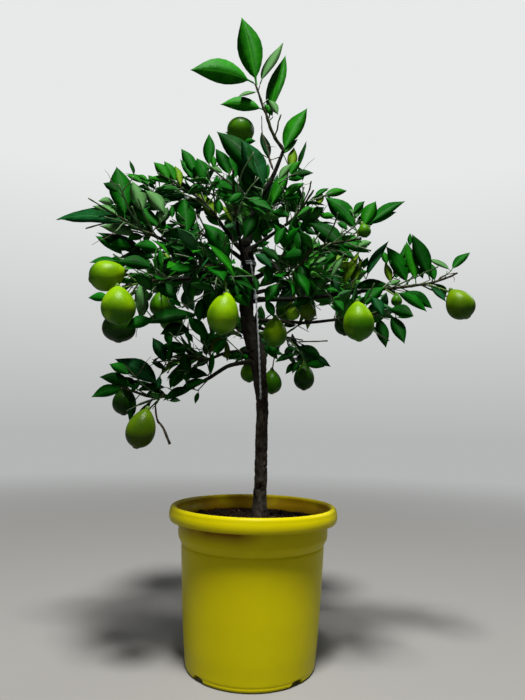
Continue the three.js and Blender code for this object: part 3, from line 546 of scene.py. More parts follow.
# Faint scuffs and a brown mark outside, and crumbs' stain on the inside of the wall above the
# soil, where the tone stored at the points is 1
def potMaterial():
    paint, place, _ = newMaterial("potPlastic", plastic)
    tree = paint.node_tree
    axes = addNode(tree, "SeparateXYZ", {"Vector": place})
    scuffs, crumbs = (
        addNode(tree, "TexNoise", {"Vector": place, "Scale": look["scale"], "Detail": 6})["Fac"]
        for look in (potScuffs, potDirt)
    )
    scuffed = mapped(tree, scuffs, *potScuffs["patches"])
    overlay(tree, product(tree, scuffed, potScuffs["strength"]), potScuffs["colour"])
    above = mapped(tree, axes["Z"], *potDirt["rise"])
    stained = product(tree, mapped(tree, crumbs, *potDirt["patches"]), above)
    overlay(tree, product(tree, stained, storedTone(tree)), potDirt["colour"])
    marked = mapped(tree, scuffs, *potMark["patches"])
    for axis, outer, inner in potMark["edges"]:
        marked = product(tree, marked, mapped(tree, axes[axis], outer, inner))
    overlay(tree, marked, potMark["colour"])
    return paint


def makePot():
    outline = potOutline()
    tones = (np.arange(len(outline)) > np.argmax(outline[:, 1])).astype(float)
    piece = makePiece("potShell", turnedPart(outline, pot["sides"], tones), [potMaterial()])
    cutDrains(piece)
    piece.data.shade_smooth()
    piece.data.set_sharp_from_angle(angle=math.radians(pot["sharpAngle"]))
    finishPiece(piece, "pot", "pot")


makePot()
print("pot made")


# Potting mix

soil = {
    "level": 160.5,
    "edge": 84.4,  # radius at the top, just inside the wall
    "under": [(0, 7.2), (72.2, 7.2), (80, 120)],  # radius and height
    "rings": 74,
    "lastRing": 0.02,
    "sides": 190,
    "crumbs": [(9, 1.9, 3), (4, 1.4, 5), (1.8, 0.7, 7)],  # size, height and seed of each layer
    "usual": 0.45,
    "mound": (7, 1.6, 22),  # the trunk's place, the rise against it and its reach
    "highest": 3.0,
}
soilMix = {
    "roughness": 0.95, "specular": 0.05, "patchScale": 260, "dark": (0.006, 0.0045, 0.0035),
    "light": (0.035, 0.022, 0.013), "grainScale": 1500, "grainDepth": 0.9,
}
chips = {
    "count": 620, "seed": 12, "fromEdge": 2.5, "fromTrunk": 11, "sizes": (1.3, 5.6), "rarity": 2.2,
    "width": (0.45, 0.75), "thickness": (0.25, 0.55), "bent": (0.75, 1.25), "lying": 0.35,
    "leaning": 0.5, "raised": 0.35, "highest": 4.2, "kinds": (0.45, 0.93), "sharpAngle": 30,
    "look": {**soilMix, "patchScale": 500},
    "colours": [
        ("barkChip", (0.016, 0.009, 0.006), (0.06, 0.032, 0.016)),
        ("peatChip", (0.004, 0.003, 0.003), (0.018, 0.012, 0.009)),
        ("paleChip", (0.16, 0.11, 0.05), (0.30, 0.22, 0.11)),
    ],
    "faces": [[0, 1, 3, 2], [4, 6, 7, 5], [0, 4, 5, 1], [2, 3, 7, 6], [0, 2, 6, 4], [1, 5, 7, 3]],
}


# Height of the crumbly top: layers of noise, higher against the trunk
def soilHeight(x, y):
    flat = np.stack([x, y, np.zeros_like(x)], axis=-1)
    place, mound, reach = soil["mound"]
    above = mound * np.exp(-(np.hypot(x - place, y) / reach) ** 2)
    for size, rise, seed in soil["crumbs"]:
        above += rise * (lumps(flat, size, seed) - soil["usual"])
    return soil["level"] + np.minimum(above, soil["highest"])


def makeSoil():
    shares = np.linspace(1, soil["lastRing"], soil["rings"])
    top = [(soil["edge"] * share, soil["level"]) for share in (*shares, 0)]
    part = turnedPart(np.array(soil["under"] + top), soil["sides"])
    points = part["points"]
    high = points[:, 2] == soil["level"]
    points[high, 2] = soilHeight(points[high, 0], points[high, 1])
    piece = makePiece("pottingMix", part, [plainMaterial("pottingMix", soilMix)])
    finishPiece(piece, "soil", "soil")


# Evenly drawn numbers between two limits
def drawn(draw, limits, shape):
    return limits[0] + (limits[1] - limits[0]) * draw.random(shape)


# Chips of bark, peat and pale wood: small bent boxes, tumbled and dropped on the mix
def makeChips():
    draw = np.random.default_rng(chips["seed"])
    reach = (soil["edge"] - chips["fromEdge"]) * np.sqrt(draw.random(chips["count"]))
    around = draw.random(chips["count"]) * fullTurn
    x, y = reach * np.cos(around), reach * np.sin(around)
    away = np.hypot(x - soil["mound"][0], y) > chips["fromTrunk"]
    x, y = x[away], y[away]
    count = len(x)
    small, large = chips["sizes"]
    length = small + (large - small) * draw.random((count, 1)) ** chips["rarity"]
    shares = [np.ones(count), drawn(draw, chips["width"], count), drawn(draw, chips["thickness"], count)]
    sizes = length * np.stack(shares, axis=1)
    cube = np.array(list(np.ndindex(2, 2, 2))) - 0.5
    corners = cube * sizes[:, None] * drawn(draw, chips["bent"], (count, 8, 1))
    first = unit(draw.normal(size=(count, 3)) * [1, 1, chips["lying"]])
    second = draw.normal(size=(count, 3)) * [chips["leaning"], chips["leaning"], 1]
    second = unit(np.cross(second, first))
    axes = np.stack([first, second, np.cross(first, second)], axis=1)
    places = np.stack([x, y, soilHeight(x, y) + sizes[:, 2] * chips["raised"]], axis=1)
    points = np.einsum("nci,nij->ncj", corners, axes) + places[:, None]
    points[:, :, 2] = np.minimum(points[:, :, 2], soil["level"] + chips["highest"])
    faces = np.array(chips["faces"]) + np.arange(count)[:, None, None] * len(cube)
    kinds = np.searchsorted(chips["kinds"], draw.random(count))
    slots = np.repeat(kinds, len(chips["faces"]))
    part = makePart(points.reshape(-1, 3), faces.reshape(-1, 4), quadSlots=slots)
    paints = [
        plainMaterial(name, {**chips["look"], "dark": dark, "light": light})
        for name, dark, light in chips["colours"]
    ]
    piece = makePiece("soilChips", part, paints, chips["sharpAngle"])
    finishPiece(piece, "soil")


makeSoil()
makeChips()
print("potting mix made")


# Trunk and boughs: the same stations as the solids, with the bark's relief

trunk = {
    "stations": [  # height, sideways place and radius
        (160.8, 7, 9.6), (172, 7.2, 8.5), (193, 7.6, 7.9), (250, 7.5, 7.4), (304, 7.3, 7.5),
        (335, 3.5, 8.8), (360, -0.1, 11), (385, -8.2, 10.4), (414, -14.5, 8.9), (444, -14.8, 9.3),
        (482, -13.7, 7.6), (504, -20.2, 6.2),
    ],
    "foot": 154,
    "steps": 400,
    "sides": 72,
    "ringStep": 0.8,
    "flare": (14, 3.2, 4, 0.4),  # height, spread, lobes and their depth
    "knots": [  # height, turn in degrees, rise and spread
        (206, 182, 2.6, 4.2), (246, 170, 1.4, 4), (250, 8, 1.0, 4), (331, 30, 1.8, 6), (352, 200, 2.0, 7),
        (392, 20, 2.2, 7), (418, 190, 1.8, 6), (452, 340, 1.8, 6),
    ],
    "knotPower": 6,
    "fissures": [(2.1, 0.24, 0.85, 21), (4.8, 0.3, 0.7, 22), (0.9, 0.5, 0.3, 23)],
    "barkRadius": 7.5,
    "tone": (0.62, 2.2),  # where the relief is even, and the relief that changes it by 1
    "topRound": 5,
    "topLeast": 0.12,
}
boughs = {
    "leader": (500, [(-6, -10, 549), (6.5, -20, 569), (16, -20, 588)], (26, -25, 614), (4.6, 2.2)),
    "upper_left": (484, [(-38, 4, 514)], (-58, 0, 540), (3.8, 2)),
    "middle_left": (478, [(-40, -14, 491)], (-62, -26, 500), (2.9, 1.8)),
    "front_top": (456, [(-22, -26, 482)], (-28, -48, 520), (2.8, 1.7)),
    "far_left": (458, [(-70, -22, 477)], (-122, -42, 494), (3.7, 2)),
    "left": (424, [(-62, -40, 443)], (-106, -68, 436), (3.3, 1.9)),
    "front_left": (440, [(-28, -34, 452)], (-40, -68, 450), (2.7, 1.7)),
    "low_middle": (362, [(-34, -12, 361)], (-54, -20, 352), (2.5, 1.8)),
    "low_left": (352, [(-34, -18, 343), (-54, -32, 328)], (-84, -46, 309), (2.9, 1.8)),
    "upper_right": (492, [], (31, -12, 524), (3, 1.9)),
    "right": (452, [(28, -12, 474)], (76, -28, 492), (3.1, 1.9)),
    "centre_right": (488, [(-1, -15, 490)], (24, -42, 456), (2.7, 1.8)),
    "right_shoot": (430, [(48, -10, 430), (109, -26, 435)], (146, -31, 439), (3.4, 2)),
    "right_low": (404, [(60, -22, 398)], (88, -46, 397), (2.5, 1.7)),
    "under_right": (400, [], (30, 42, 392), (2.5, 1.8)),
    "back_left": (448, [(-44, 38, 466)], (-72, 62, 476), (3.2, 1.9)),
    "back_top": (490, [], (-12, 44, 546), (3, 1.9)),
    "back_right": (436, [(14, 34, 452)], (46, 60, 462), (3.1, 1.9)),
    "back_low": (386, [], (-8, 54, 397), (2.5, 1.8)),
}
boughMake = {
    "span": 19, "fewestSteps": 3, "steps": 120, "sides": 18, "ringStep": 1.2, "collar": 0.55,
    "collarReach": 5, "wander": 0.55, "wanderSize": 14, "relief": (1.3, 0.3, 0.22, 31),
    "reliefGap": 97, "barkRadius": 3, "tone": (0.55, 0.5),
}
creases = {"steepness": 5, "middle": 0.7}
barkLook = {
    "roughness": 0.88, "specular": 0.1, "patchScale": 90, "low": 0.4, "high": 0.7,
    "dark": (0.014, 0.011, 0.008), "light": (0.046, 0.038, 0.029), "grainScale": 1600, "grainDepth": 0.55,
}
# Bark colours by the stored relief: the furrow colour is painted shade, the crest colour grey bark
trunkTints = {"furrowShade": (0.005, 0.004, 0.003), "crest": (0.115, 0.105, 0.088)}
# The boughs' bark is a darker copy of the trunk's, as painted shade of the crown over it
shadedBoughTints = {"furrowShade": (0.003, 0.003, 0.002), "crest": (0.050, 0.048, 0.034)}
shadedBoughLook = {**barkLook, "dark": (0.006, 0.006, 0.003), "light": (0.022, 0.021, 0.012)}
barkTones = {"furrowShade": (0.45, 0.1), "crest": (0.72, 1), "crestPatches": (0.3, 1)}
# Painted shade: the bark darkens up in the crown, where the leaves shade it
crownShade = {"colour": (0.003, 0.0035, 0.002), "rise": (0.31, 0.40), "share": 0.75}


def trunkAt(height):
    heights, places, radii = zip(*trunk["stations"])
    return np.interp(height, heights, places), np.interp(height, heights, radii)


# Points of a bough's spine, as few as in the solids
def boughPoints(name):
    foot, through, tip, _ = boughs[name]
    stations = [(float(trunkAt(foot)[0]), 0, foot), *through, tip]
    steps = math.floor(pathLength(splinePoints(stations, 200)) / boughMake["span"] + 0.5)
    return splinePoints(stations, max(boughMake["fewestSteps"], steps))


# Bark: creases run along the limb, where stretched noise passes its middle value
def barkRelief(around, along, radius, layer):
    size, squeeze, depth, seed = layer
    points = np.stack([np.cos(around) * radius, np.sin(around) * radius, along * squeeze], axis=-1)
    fromMiddle = np.abs(lumps(points, size, seed) - 0.5)
    return depth * (np.minimum(fromMiddle * creases["steepness"], 1) - creases["middle"])


def reliefTone(relief, make):
    usual, change = make["tone"]
    return np.clip(usual + relief / change, 0, 1)


def makeTrunk():
    stations = [(place, 0, height) for height, place, _ in trunk["stations"]]
    path = evenly(splinePoints(stations, trunk["steps"]), trunk["ringStep"])
    path = np.vstack([[path[0, 0], 0, trunk["foot"]], path])
    around, height = np.meshgrid(np.arange(trunk["sides"]) * fullTurn / trunk["sides"], path[:, 2])
    flareHeight, spread, lobes, depth = trunk["flare"]
    above = (height - soil["level"]) / flareHeight
    radius = trunkAt(height)[1] + spread * np.exp(-above**2) * (1 - depth + depth * np.cos(lobes * around))
    for knotHeight, turn, rise, size in trunk["knots"]:
        away = (height - knotHeight) / size
        facing = np.maximum(0, np.cos(around - math.radians(turn)))
        radius = radius + rise * np.exp(-away**2) * facing ** trunk["knotPower"]
    relief = sum(barkRelief(around, height, trunk["barkRadius"], layer) for layer in trunk["fissures"])
    fromTop = np.maximum(0, 1 - (path[-1, 2] - height) / trunk["topRound"])
    radius = (radius + relief) * np.sqrt(np.maximum(trunk["topLeast"], 1 - fromTop**2))
    return tubePart(path, radius, trunk["sides"], reliefTone(relief, trunk))


# A bough tapers evenly and widens into a collar where it leaves the trunk
def makeBough(number, name):
    foot, _, _, radii = boughs[name]
    path = evenly(splinePoints(boughPoints(name), boughMake["steps"]), boughMake["ringStep"])
    path, travelled = crooked(path, boughMake["wander"], boughMake["wanderSize"], number, 0, 1)
    outside = np.maximum(0, travelled - trunkAt(foot)[1])
    collar = boughMake["collar"] * np.exp(-outside / boughMake["collarReach"])
    radius = np.linspace(*radii, len(path)) * (1 + collar)
    angles = np.arange(boughMake["sides"]) * fullTurn / boughMake["sides"]
    around, along = np.meshgrid(angles, travelled + number * boughMake["reliefGap"])
    relief = barkRelief(around, along, boughMake["barkRadius"], boughMake["relief"])
    return tubePart(path, radius[:, None] + relief, boughMake["sides"], reliefTone(relief, boughMake))


# Bark is darker in the furrows, where the colour is painted shade, and grey on the crests, by
# the tone stored at its points, and darker up in the crown, as painted shade of the crown
def barkMaterial(name, look, tints):
    paint, place, patches = newMaterial(name, look)
    tree = paint.node_tree
    tone = storedTone(tree)
    overlay(tree, mapped(tree, tone, *barkTones["furrowShade"]), tints["furrowShade"])
    patches = mapped(tree, patches, *barkTones["crestPatches"])
    overlay(tree, product(tree, mapped(tree, tone, *barkTones["crest"]), patches), tints["crest"])
    height = addNode(tree, "SeparateXYZ", {"Vector": place})["Z"]
    inCrownShade = mapped(tree, height, *crownShade["rise"])
    overlay(tree, product(tree, inCrownShade, crownShade["share"]), crownShade["colour"])
    return paint


trunkPiece = makePiece("trunkBark", makeTrunk(), [barkMaterial("trunkBark", barkLook, trunkTints)])
finishPiece(trunkPiece, "bark", "trunk")
boughPart = joinParts([makeBough(number, name) for number, name in enumerate(boughs)])
# The boughs take the darker copy of the bark: painted shade
boughPiece = makePiece("boughBark", boughPart, [barkMaterial("boughBark", shadedBoughLook, shadedBoughTints)])
finishPiece(boughPiece, "bark", *[name for name in nodeNames if name.startswith("bough_")])
print("trunk and", len(boughs), "boughs made")


# The crown grows by the rule of the solids, from the same numbers, and then carries on to finer
# twigs within the same reach

masses = {  # seed, centre and radii of the space, filling twigs, outline tips
    "leader": (11, (8, -42, 690), (95, 70, 90), 0, [
        (-30, -50, 783), (-90, -60, 702), (26, -30, 765), (27, -60, 725), (-51, -70, 651),
        (10, -20, 713), (56, -40, 668), (-58, 0, 728)]),
    "upper_left": (23, (-94, -8, 566), (78, 64, 66), 6, [
        (-69, -10, 647), (-105, -10, 625), (-62, 20, 637), (-136, -30, 596), (-108, -30, 592),
        (-85, 0, 617)]),
    "front_top": (31, (-30, -84, 545), (62, 50, 66), 5, [
        (-49, -110, 593), (-29, -120, 558), (-57, -140, 471)]),
    "middle_left": (37, (-94, -46, 508), (50, 46, 42), 5, []),
    "far_left": (43, (-170, -56, 516), (62, 56, 52), 6, [
        (-239, -60, 513), (-166, -80, 565), (-181, -90, 481), (-167, -20, 604), (-198, -60, 477),
        (-158, -50, 562)]),
    "left": (53, (-138, -80, 426), (62, 58, 62), 6, [(-176, -60, 458)]),
    "front_left": (61, (-60, -104, 440), (62, 54, 64), 5, []),
    "low_middle": (71, (-86, -36, 350), (58, 54, 50), 5, []),
    "low_left": (86, (-134, -64, 312), (54, 50, 46), 5, [
        (-182, -70, 298), (-169, -90, 321), (-161, -60, 344), (-125, -60, 366)]),
    "upper_right": (97, (56, -26, 552), (58, 56, 52), 6, [
        (71, -20, 613), (66, -30, 587), (60, -60, 558), (58, 10, 642), (112, -10, 574)]),
    "right": (103, (108, -46, 494), (58, 54, 58), 5, [
        (177, -40, 548), (146, -20, 556), (110, -110, 464), (112, -110, 449)]),
    "right_shoot": (113, (196, -34, 452), (78, 48, 70), 3, [
        (161, -20, 505), (148, -60, 467), (159, -10, 501), (174, -50, 493), (190, -20, 514),
        (202, -60, 471), (258, -30, 488), (219, -50, 422), (201, -60, 410), (174, -80, 396),
        (205, 20, 430), (228, 10, 480)]),
    "right_low": (127, (120, -86, 396), (62, 54, 54), 5, [(161, -90, 364), (138, -100, 357)]),
    "centre_right": (131, (48, -80, 462), (54, 52, 56), 6, []),
    "under_right": (149, (60, 42, 372), (54, 54, 46), 5, [(99, 60, 353), (84, 30, 359)]),
    "back_left": (151, (-104, 88, 488), (74, 62, 72), 5, [(-176, 110, 470), (-120, 120, 566)]),
    "back_top": (163, (-8, 76, 580), (66, 58, 54), 5, [(-10, 100, 650)]),
    "back_right": (173, (72, 86, 476), (74, 62, 70), 5, [(160, 96, 500), (96, 130, 550)]),
    "back_low": (181, (-6, 88, 392), (58, 50, 50), 5, []),
}
massNames = list(masses)
openMass = "leader"
stemRoutes = {
    "leader": [(16, -30, 634), (7, -35, 653), (-10, -40, 699)],
    "right_shoot": [(161, -30, 441), (190, -30, 445), (215, -32, 450), (242, -30, 462)],
}
dryTwigs = {"low_left": [(-109, -62, 276), (-102, -64, 269), (-94, -60, 250)]}
# The dark tint marks fruit that hang in the crown's shade: painted shade
fruitRows = [  # mass, centre, length, width, way it hangs and tint
    ("upper_left", (-28, -18, 646), 38, 35, (0.1, 0, 1), "green"),
    ("left", (-166, -90, 433), 42, 34, (-0.95, 0, -0.3), "ripe"),
    ("left", (-145, -116, 394), 42, 36, (0.1, 0, -1), "ripe"),
    ("left", (-158, -60, 382), 39, 38, (0, 0, -1), "dark"),
    ("left", (-119, -24, 416), 32, 26, (0, 0, -1), "green"),
    ("front_left", (-34, -130, 385), 45, 32, (-0.15, 0, -1), "ripe"),
    ("low_left", (-120, -90, 267), 44, 31, (-0.25, 0, -1), "olive"),
    ("low_left", (-151, -45, 297), 33, 27, (0, 0, -1), "dark"),
    ("right", (125, -50, 506), 18, 15, (0.3, 0, -1), "green"),
    ("right_shoot", (164, -44, 423), 15, 13, (0, 0, -1), "green"),
    ("right_shoot", (240, -40, 421), 40, 33, (0.5, 0, -0.85), "half"),
    ("right_low", (108, -104, 385), 44, 33, (0.05, 0, -1), "ripe"),
    ("centre_right", (58, -56, 405), 22, 19, (0.1, 0, -1), "olive"),
    ("centre_right", (41, -52, 403), 17, 16, (0, 0, -1), "ripe"),
    ("centre_right", (21, -34, 383), 37, 29, (0, 0, -1), "ripe"),
    ("under_right", (20, 58, 331), 34, 27, (0, 0, -1), "green"),
    ("under_right", (62, 40, 337), 36, 27, (0, 0, -1), "dark"),
    ("back_left", (-128, 110, 425), 42, 34, (0, 0, -1), "green"),
    ("back_left", (-62, 118, 446), 40, 32, (0, 0, -1), "ripe"),
    ("back_right", (127, 112, 424), 38, 31, (0, 0, -1), "dark"),
    ("back_right", (40, 126, 446), 38, 30, (0, 0, -1), "green"),
    ("back_low", (-11, 70, 345), 30, 24, (0, 0, -1), "green"),
]
fruits = [(*row[:4], unit(np.array(row[4], float)), row[5]) for row in fruitRows]
stringTail = [(-10.8, -9.2, 476), (-3.2, -12.6, 431), (1.5, -14, 372), (5.5, -12, 312)]
stringRadius = 1
leafRule = {
    "length": 60, "halfRatio": 0.205, "widest": 0.45, "fold": 0.04, "spacing": 13, "angle": 58,
    "endAngle": 0.2, "lift": 0.2, "shortest": 0.8, "variety": 0.4, "attempts": 5, "shrink": 0.9,
    "lastShare": 0.98, "crowding": 0.16,
}
tipRule = {"length": 64, "miss": 18, "backward": -0.2, "upstream": 0.3, "lowest": 0.1}
bladeRule = {"neck": 0.12, "spread": 1.05, "overshoot": 0.06}
facingRule = {"outward": 0.3, "roll": 1.1, "tipRoll": 0.5, "tipLift": 0.45, "frontLimit": 20}
twigRule = {"span": 32, "mostSteps": 3, "tipRadius": 1.15, "taper": 0.55, "bend": 0.16, "lift": 0.05}
stemRule = {"swell": 1.35, "foot": 4, "past": 0.45, "ease": 0.4, "bare": 0.3, "twigBare": 0.15}
fillRule = {
    "behind": -0.45, "span": 1.35, "first": 0.12, "spread": 0.8, "reaches": (0.68, 0.54, 0.4),
    "shortest": 18,
}
forkRule = {"parentLength": 62, "share": 0.5, "length": 22, "variety": 18, "splay": 0.7, "turns": 2}
stalkRule = {"lowest": 0.25, "upstream": 0.15, "bend": 0.45, "sunk": 2, "seat": 0.46}
showRule = {
    "middle": (-5, 0, 480), "up": 0.55, "outward": 0.85, "roll": 1.3, "seed": 400, "depths": (-160, 148),
}
dryRadius = 2.1
twigSamples = np.arange(11) / 10
woodSamples = 20
carrying = (0.1, 0.95)
draws = {"turn": 1, "length": 2, "rollX": 3, "rollY": 4, "fan": 5, "fork": 6, "forkLength": 7}
clearance = {
    "gap": 0.3, "cell": 0.5, "twigCell": 1.5, "twig": 3.5, "leafRoot": 1.5, "blade": 5, "stretch": 1.1,
}
goldenAngle = math.pi * (3 - math.sqrt(5))


# Free space: limbs and fruit that twigs and leaves of other masses keep clear of

obstacles = []


def addObstacle(points, radii, owner=""):
    points = np.array(points, float)
    obstacles.extend(zip(points[:-1], points[1:], radii[:-1], radii[1:], [owner] * len(points)))


def gatherObstacles():
    starts, ends, fromRadii, toRadii, owners = (np.array(column) for column in zip(*obstacles))
    spans = ends - starts
    return {
        "starts": starts, "spans": spans, "squares": (spans**2).sum(axis=1), "from": fromRadii,
        "to": toRadii, "owners": owners,
    }


# Whether each point is further than its margin from every limb of another owner
def isClear(points, margins, owner):
    reach = points[:, None] - limbs["starts"]
    share = np.clip((reach * limbs["spans"]).sum(axis=2) / limbs["squares"], 0, 1)
    apart = np.linalg.norm(reach - share[..., None] * limbs["spans"], axis=2)
    radius = limbs["from"] + (limbs["to"] - limbs["from"]) * share
    return ((apart > radius + np.reshape(margins, (-1, 1))) | (limbs["owners"] == owner)).all()


centres = np.array([masses[name][1] for name in massNames], float)
massRadii = np.array([masses[name][2] for name in massNames], float)


# A mass's cell is bounded by one plane between it and each other mass: the plane where the
# squared distances from both centres, less the squared sizes, are equal
def inCell(name, points, margin):
    number = massNames.index(name)
    power = ((points[:, None] - centres) ** 2).sum(axis=2) - massRadii.mean(axis=1) ** 2
    between = 2 * np.linalg.norm(centres - centres[number], axis=1)
    others = np.arange(len(massNames)) != number
    beyond = (power[:, others] - power[:, [number]]) / between[others]
    return (beyond > margin).all()


def inOutline(name, points, stretch):
    number = massNames.index(name)
    return (np.linalg.norm((points - centres[number]) / massRadii[number], axis=1) < stretch).all()


# Twigs: each is a dictionary of points, radii at its two ends, length and kind

def makeTwig(points, radii, kind):
    return {"points": points, "radii": radii, "length": np.linalg.norm(points[-1] - points[0]), "kind": kind}


def placeOn(twig, shares):
    along = np.asarray(shares, float) * (len(twig["points"]) - 1)
    step = np.minimum(np.floor(along).astype(int), len(twig["points"]) - 2)
    return step, (along - step)[..., None]


def pointOn(twig, shares):
    step, part = placeOn(twig, shares)
    return twig["points"][step] + (twig["points"][step + 1] - twig["points"][step]) * part


def directionOn(twig, shares):
    step, _ = placeOn(twig, shares)
    return unit(twig["points"][step + 1] - twig["points"][step])


# A quadratic curve from start to end, pulled towards the middle point
def curvedPoints(start, middle, end):
    spans = math.floor(np.linalg.norm(end - start) / twigRule["span"] + 0.5)
    share = np.linspace(0, 1, min(max(spans, 1), twigRule["mostSteps"]) + 1)[:, None]
    return start * (1 - share) ** 2 + middle * 2 * share * (1 - share) + end * share**2


# A twig sets off along its parent and bends round to its end
def twigBetween(parent, share, end):
    start = pointOn(parent, share)
    length = np.linalg.norm(end - start)
    middle = (start + end) / 2 + directionOn(parent, share) * length * twigRule["bend"]
    middle = middle + upward * length * twigRule["lift"]
    parentRadius = parent["radii"][0] + (parent["radii"][1] - parent["radii"][0]) * share
    thick = max(parentRadius * twigRule["taper"], twigRule["tipRadius"])
    return makeTwig(curvedPoints(start, middle, end), (thick, twigRule["tipRadius"]), "twig")


def twigIsFree(name, twig, shaped):
    points = pointOn(twig, twigSamples[2:])
    held = inCell(name, points, clearance["twigCell"]) and (not shaped or inOutline(name, points, 1))
    return held and isClear(points, [clearance["twig"]], name)


# Leaves

def leafPoint(leaf, alongShare, sideShare):
    point = leaf["root"] + leaf["along"] * leaf["length"] * alongShare
    point = point + leaf["side"] * leaf["length"] * leafRule["halfRatio"] * sideShare
    return point + leaf["normal"] * leaf["length"] * leafRule["fold"] * abs(sideShare)


# Six times the volume of the tetrahedron on four points, with a sign for its handedness
def turnOf(a, b, c, d):
    return (np.cross(b - a, c - a) * (d - a)).sum(axis=-1)


# Whether a segment, given by its two ends, passes through the triangle
def pierces(segment, triangle):
    p, q = segment[..., 0, :], segment[..., 1, :]
    a, b, c = (triangle[..., corner, :] for corner in range(3))
    across = turnOf(a, b, c, p) * turnOf(a, b, c, q) <= 0
    first = np.sign(turnOf(p, q, a, b))
    return across & (first == np.sign(turnOf(p, q, b, c))) & (first == np.sign(turnOf(p, q, c, a)))


# A leaf is its root, axes and length, with its blade in two triangles, without the narrow part
# at the root, and the blade's five edges
def makeLeaf(root, along, normal, length, **shown):
    side = np.cross(along, normal)
    leaf = {"root": root, "along": along, "normal": normal, "side": side, "length": length, **shown}
    base = leafPoint(leaf, bladeRule["neck"], 0)
    left = leafPoint(leaf, leafRule["widest"], bladeRule["spread"])
    right = leafPoint(leaf, leafRule["widest"], -bladeRule["spread"])
    tip = leafPoint(leaf, 1 + bladeRule["overshoot"], 0)
    return {
        **leaf, "middle": leafPoint(leaf, leafRule["widest"], 0),
        "triangles": np.array([[base, left, tip], [base, tip, right]]),
        "edges": np.array([[base, left], [left, tip], [tip, right], [right, base], [base, tip]]),
    }


# A blade crosses no other blade of its mass and none of its twigs
def bladeIsFree(leaf, foliage, crowding):
    near = []
    if foliage["leaves"]:
        middles = np.array([other["middle"] for other in foliage["leaves"]])
        lengths = np.array([other["length"] for other in foliage["leaves"]])
        apart = np.linalg.norm(middles - leaf["middle"], axis=1)
        if (apart < crowding * leaf["length"]).any():
            return False
        near = [other for other, close in zip(foliage["leaves"], apart < leaf["length"] + lengths) if close]
    segments = [np.stack([twig["points"][:-1], twig["points"][1:]], axis=1) for twig in foliage["twigs"]]
    segments = np.concatenate(segments + [other["edges"] for other in near])
    if pierces(segments[:, None], leaf["triangles"][None]).any():
        return False
    blades = [other["triangles"] for other in near]
    return not blades or not pierces(leaf["edges"][:, None], np.concatenate(blades)[None]).any()


# Points over a leaf, as shares of its length and half width, and the room that each one needs
leafSamples = [
    (1, 0), (leafRule["widest"], 1), (leafRule["widest"], -1), (leafRule["widest"], 0),
    (0.75, 0), (0.7, 0.5), (0.7, -0.5), (0.22, 0),
]
leafMargins = [clearance["leafRoot" if along < leafRule["widest"] else "blade"] for along, _ in leafSamples]


def pointsOver(leaf):
    return np.array([leafPoint(leaf, along, side) for along, side in leafSamples])


def leafIsHeld(name, leaf, shaped):
    points = pointsOver(leaf)
    held = inCell(name, points, clearance["cell"])
    held = held and (not shaped or inOutline(name, points, clearance["stretch"]))
    return held and isClear(points, leafMargins, name)


# A blade inside faces up and outwards, rolled a little at random, and one at the outline shows
# its face to the front or the back
def bladeFacing(name, root, counter, shaped):
    seed, centre = masses[name][:2]
    roll = np.array([*(chance(seed, counter, draws[key]) - 0.5 for key in ("rollX", "rollY")), 0])
    if shaped:
        outwards = unit(root * [1, 1, 0])
        return upward + outwards * facingRule["outward"] + roll * facingRule["roll"]
    front = centre[1] < facingRule["frontLimit"]
    return np.array([0, -1 if front else 1, facingRule["tipLift"]]) + roll * facingRule["tipRoll"]


# The part of a direction that is square to a leaf's midrib
def squareBlade(facing, along):
    return unit(facing - along * np.dot(facing, along))


# The same leaf rolled about its midrib, so that its face turns out of the crown and up
def showFace(name, leaf, counter):
    seed = masses[name][0] + showRule["seed"]
    roll = np.array([chance(seed, counter, draw) - 0.5 for draw in (1, 2, 3)])
    outwards = unit((leaf["root"] - showRule["middle"]) * [1, 1, 0])
    facing = upward * showRule["up"] + outwards * showRule["outward"] + roll * showRule["roll"]
    return makeLeaf(leaf["root"], leaf["along"], squareBlade(facing, leaf["along"]), leaf["length"])


def isWellSeen(leaf):
    points = pointsOver(leaf)
    nearest, furthest = showRule["depths"]
    inReach = points[:, 1].min() > nearest and points[:, 1].max() < furthest
    return inReach and not hidesKept(points) and not isOverSky(points)


def tryLeaf(name, foliage, root, along, length, shaped, rule=leafRule):
    normal = squareBlade(bladeFacing(name, root, foliage["tries"], shaped), along)
    leaf = makeLeaf(root, along, normal, length)
    foliage["tries"] += 1
    free = leafIsHeld(name, leaf, shaped) and bladeIsFree(leaf, foliage, rule["crowding"])
    free = free and isWellSeen(leaf)
    if free:
        shown = showFace(name, leaf, foliage["tries"]) if shaped else leaf
        better = shaped and bladeIsFree(shown, foliage, 0) and leafIsHeld(name, shown, False)
        foliage["leaves"].append(shown if better and isWellSeen(shown) else leaf)
    return free


# A direction that leans away from another by an angle, on the side that the turn gives
def leaning(forward, turn, angle, lift):
    across = turned(squareTo(forward), forward, turn)
    return unit(forward * math.cos(angle) + across * math.sin(angle) + upward * lift)


# Leaves stand round a twig in a spiral from its end down. One that doesn't fit is turned on and
# shortened a few times, and then left out.
def leafTwig(name, foliage, twig, bare, rule=leafRule):
    seed = masses[name][0]
    count = max(1, math.floor(twig["length"] * (1 - bare) / rule["spacing"] + 0.5))
    turn = chance(seed, foliage["tries"], draws["turn"]) * fullTurn
    for i in range(count, -1, -1):
        share = min(bare + (1 - bare) * i / count, rule["lastShare"])
        angle = rule["endAngle"] if i == count else math.radians(rule["angle"])
        draw = chance(seed, foliage["tries"], draws["length"])
        length = rule["length"] * (rule["shortest"] + rule["variety"] * draw)
        for _ in range(rule["attempts"]):
            along = leaning(directionOn(twig, share), turn, angle, rule["lift"])
            placed = tryLeaf(name, foliage, pointOn(twig, share), along, length, True, rule)
            turn += goldenAngle
            length *= rule["shrink"]
            if placed:
                break


# Growth of one mass

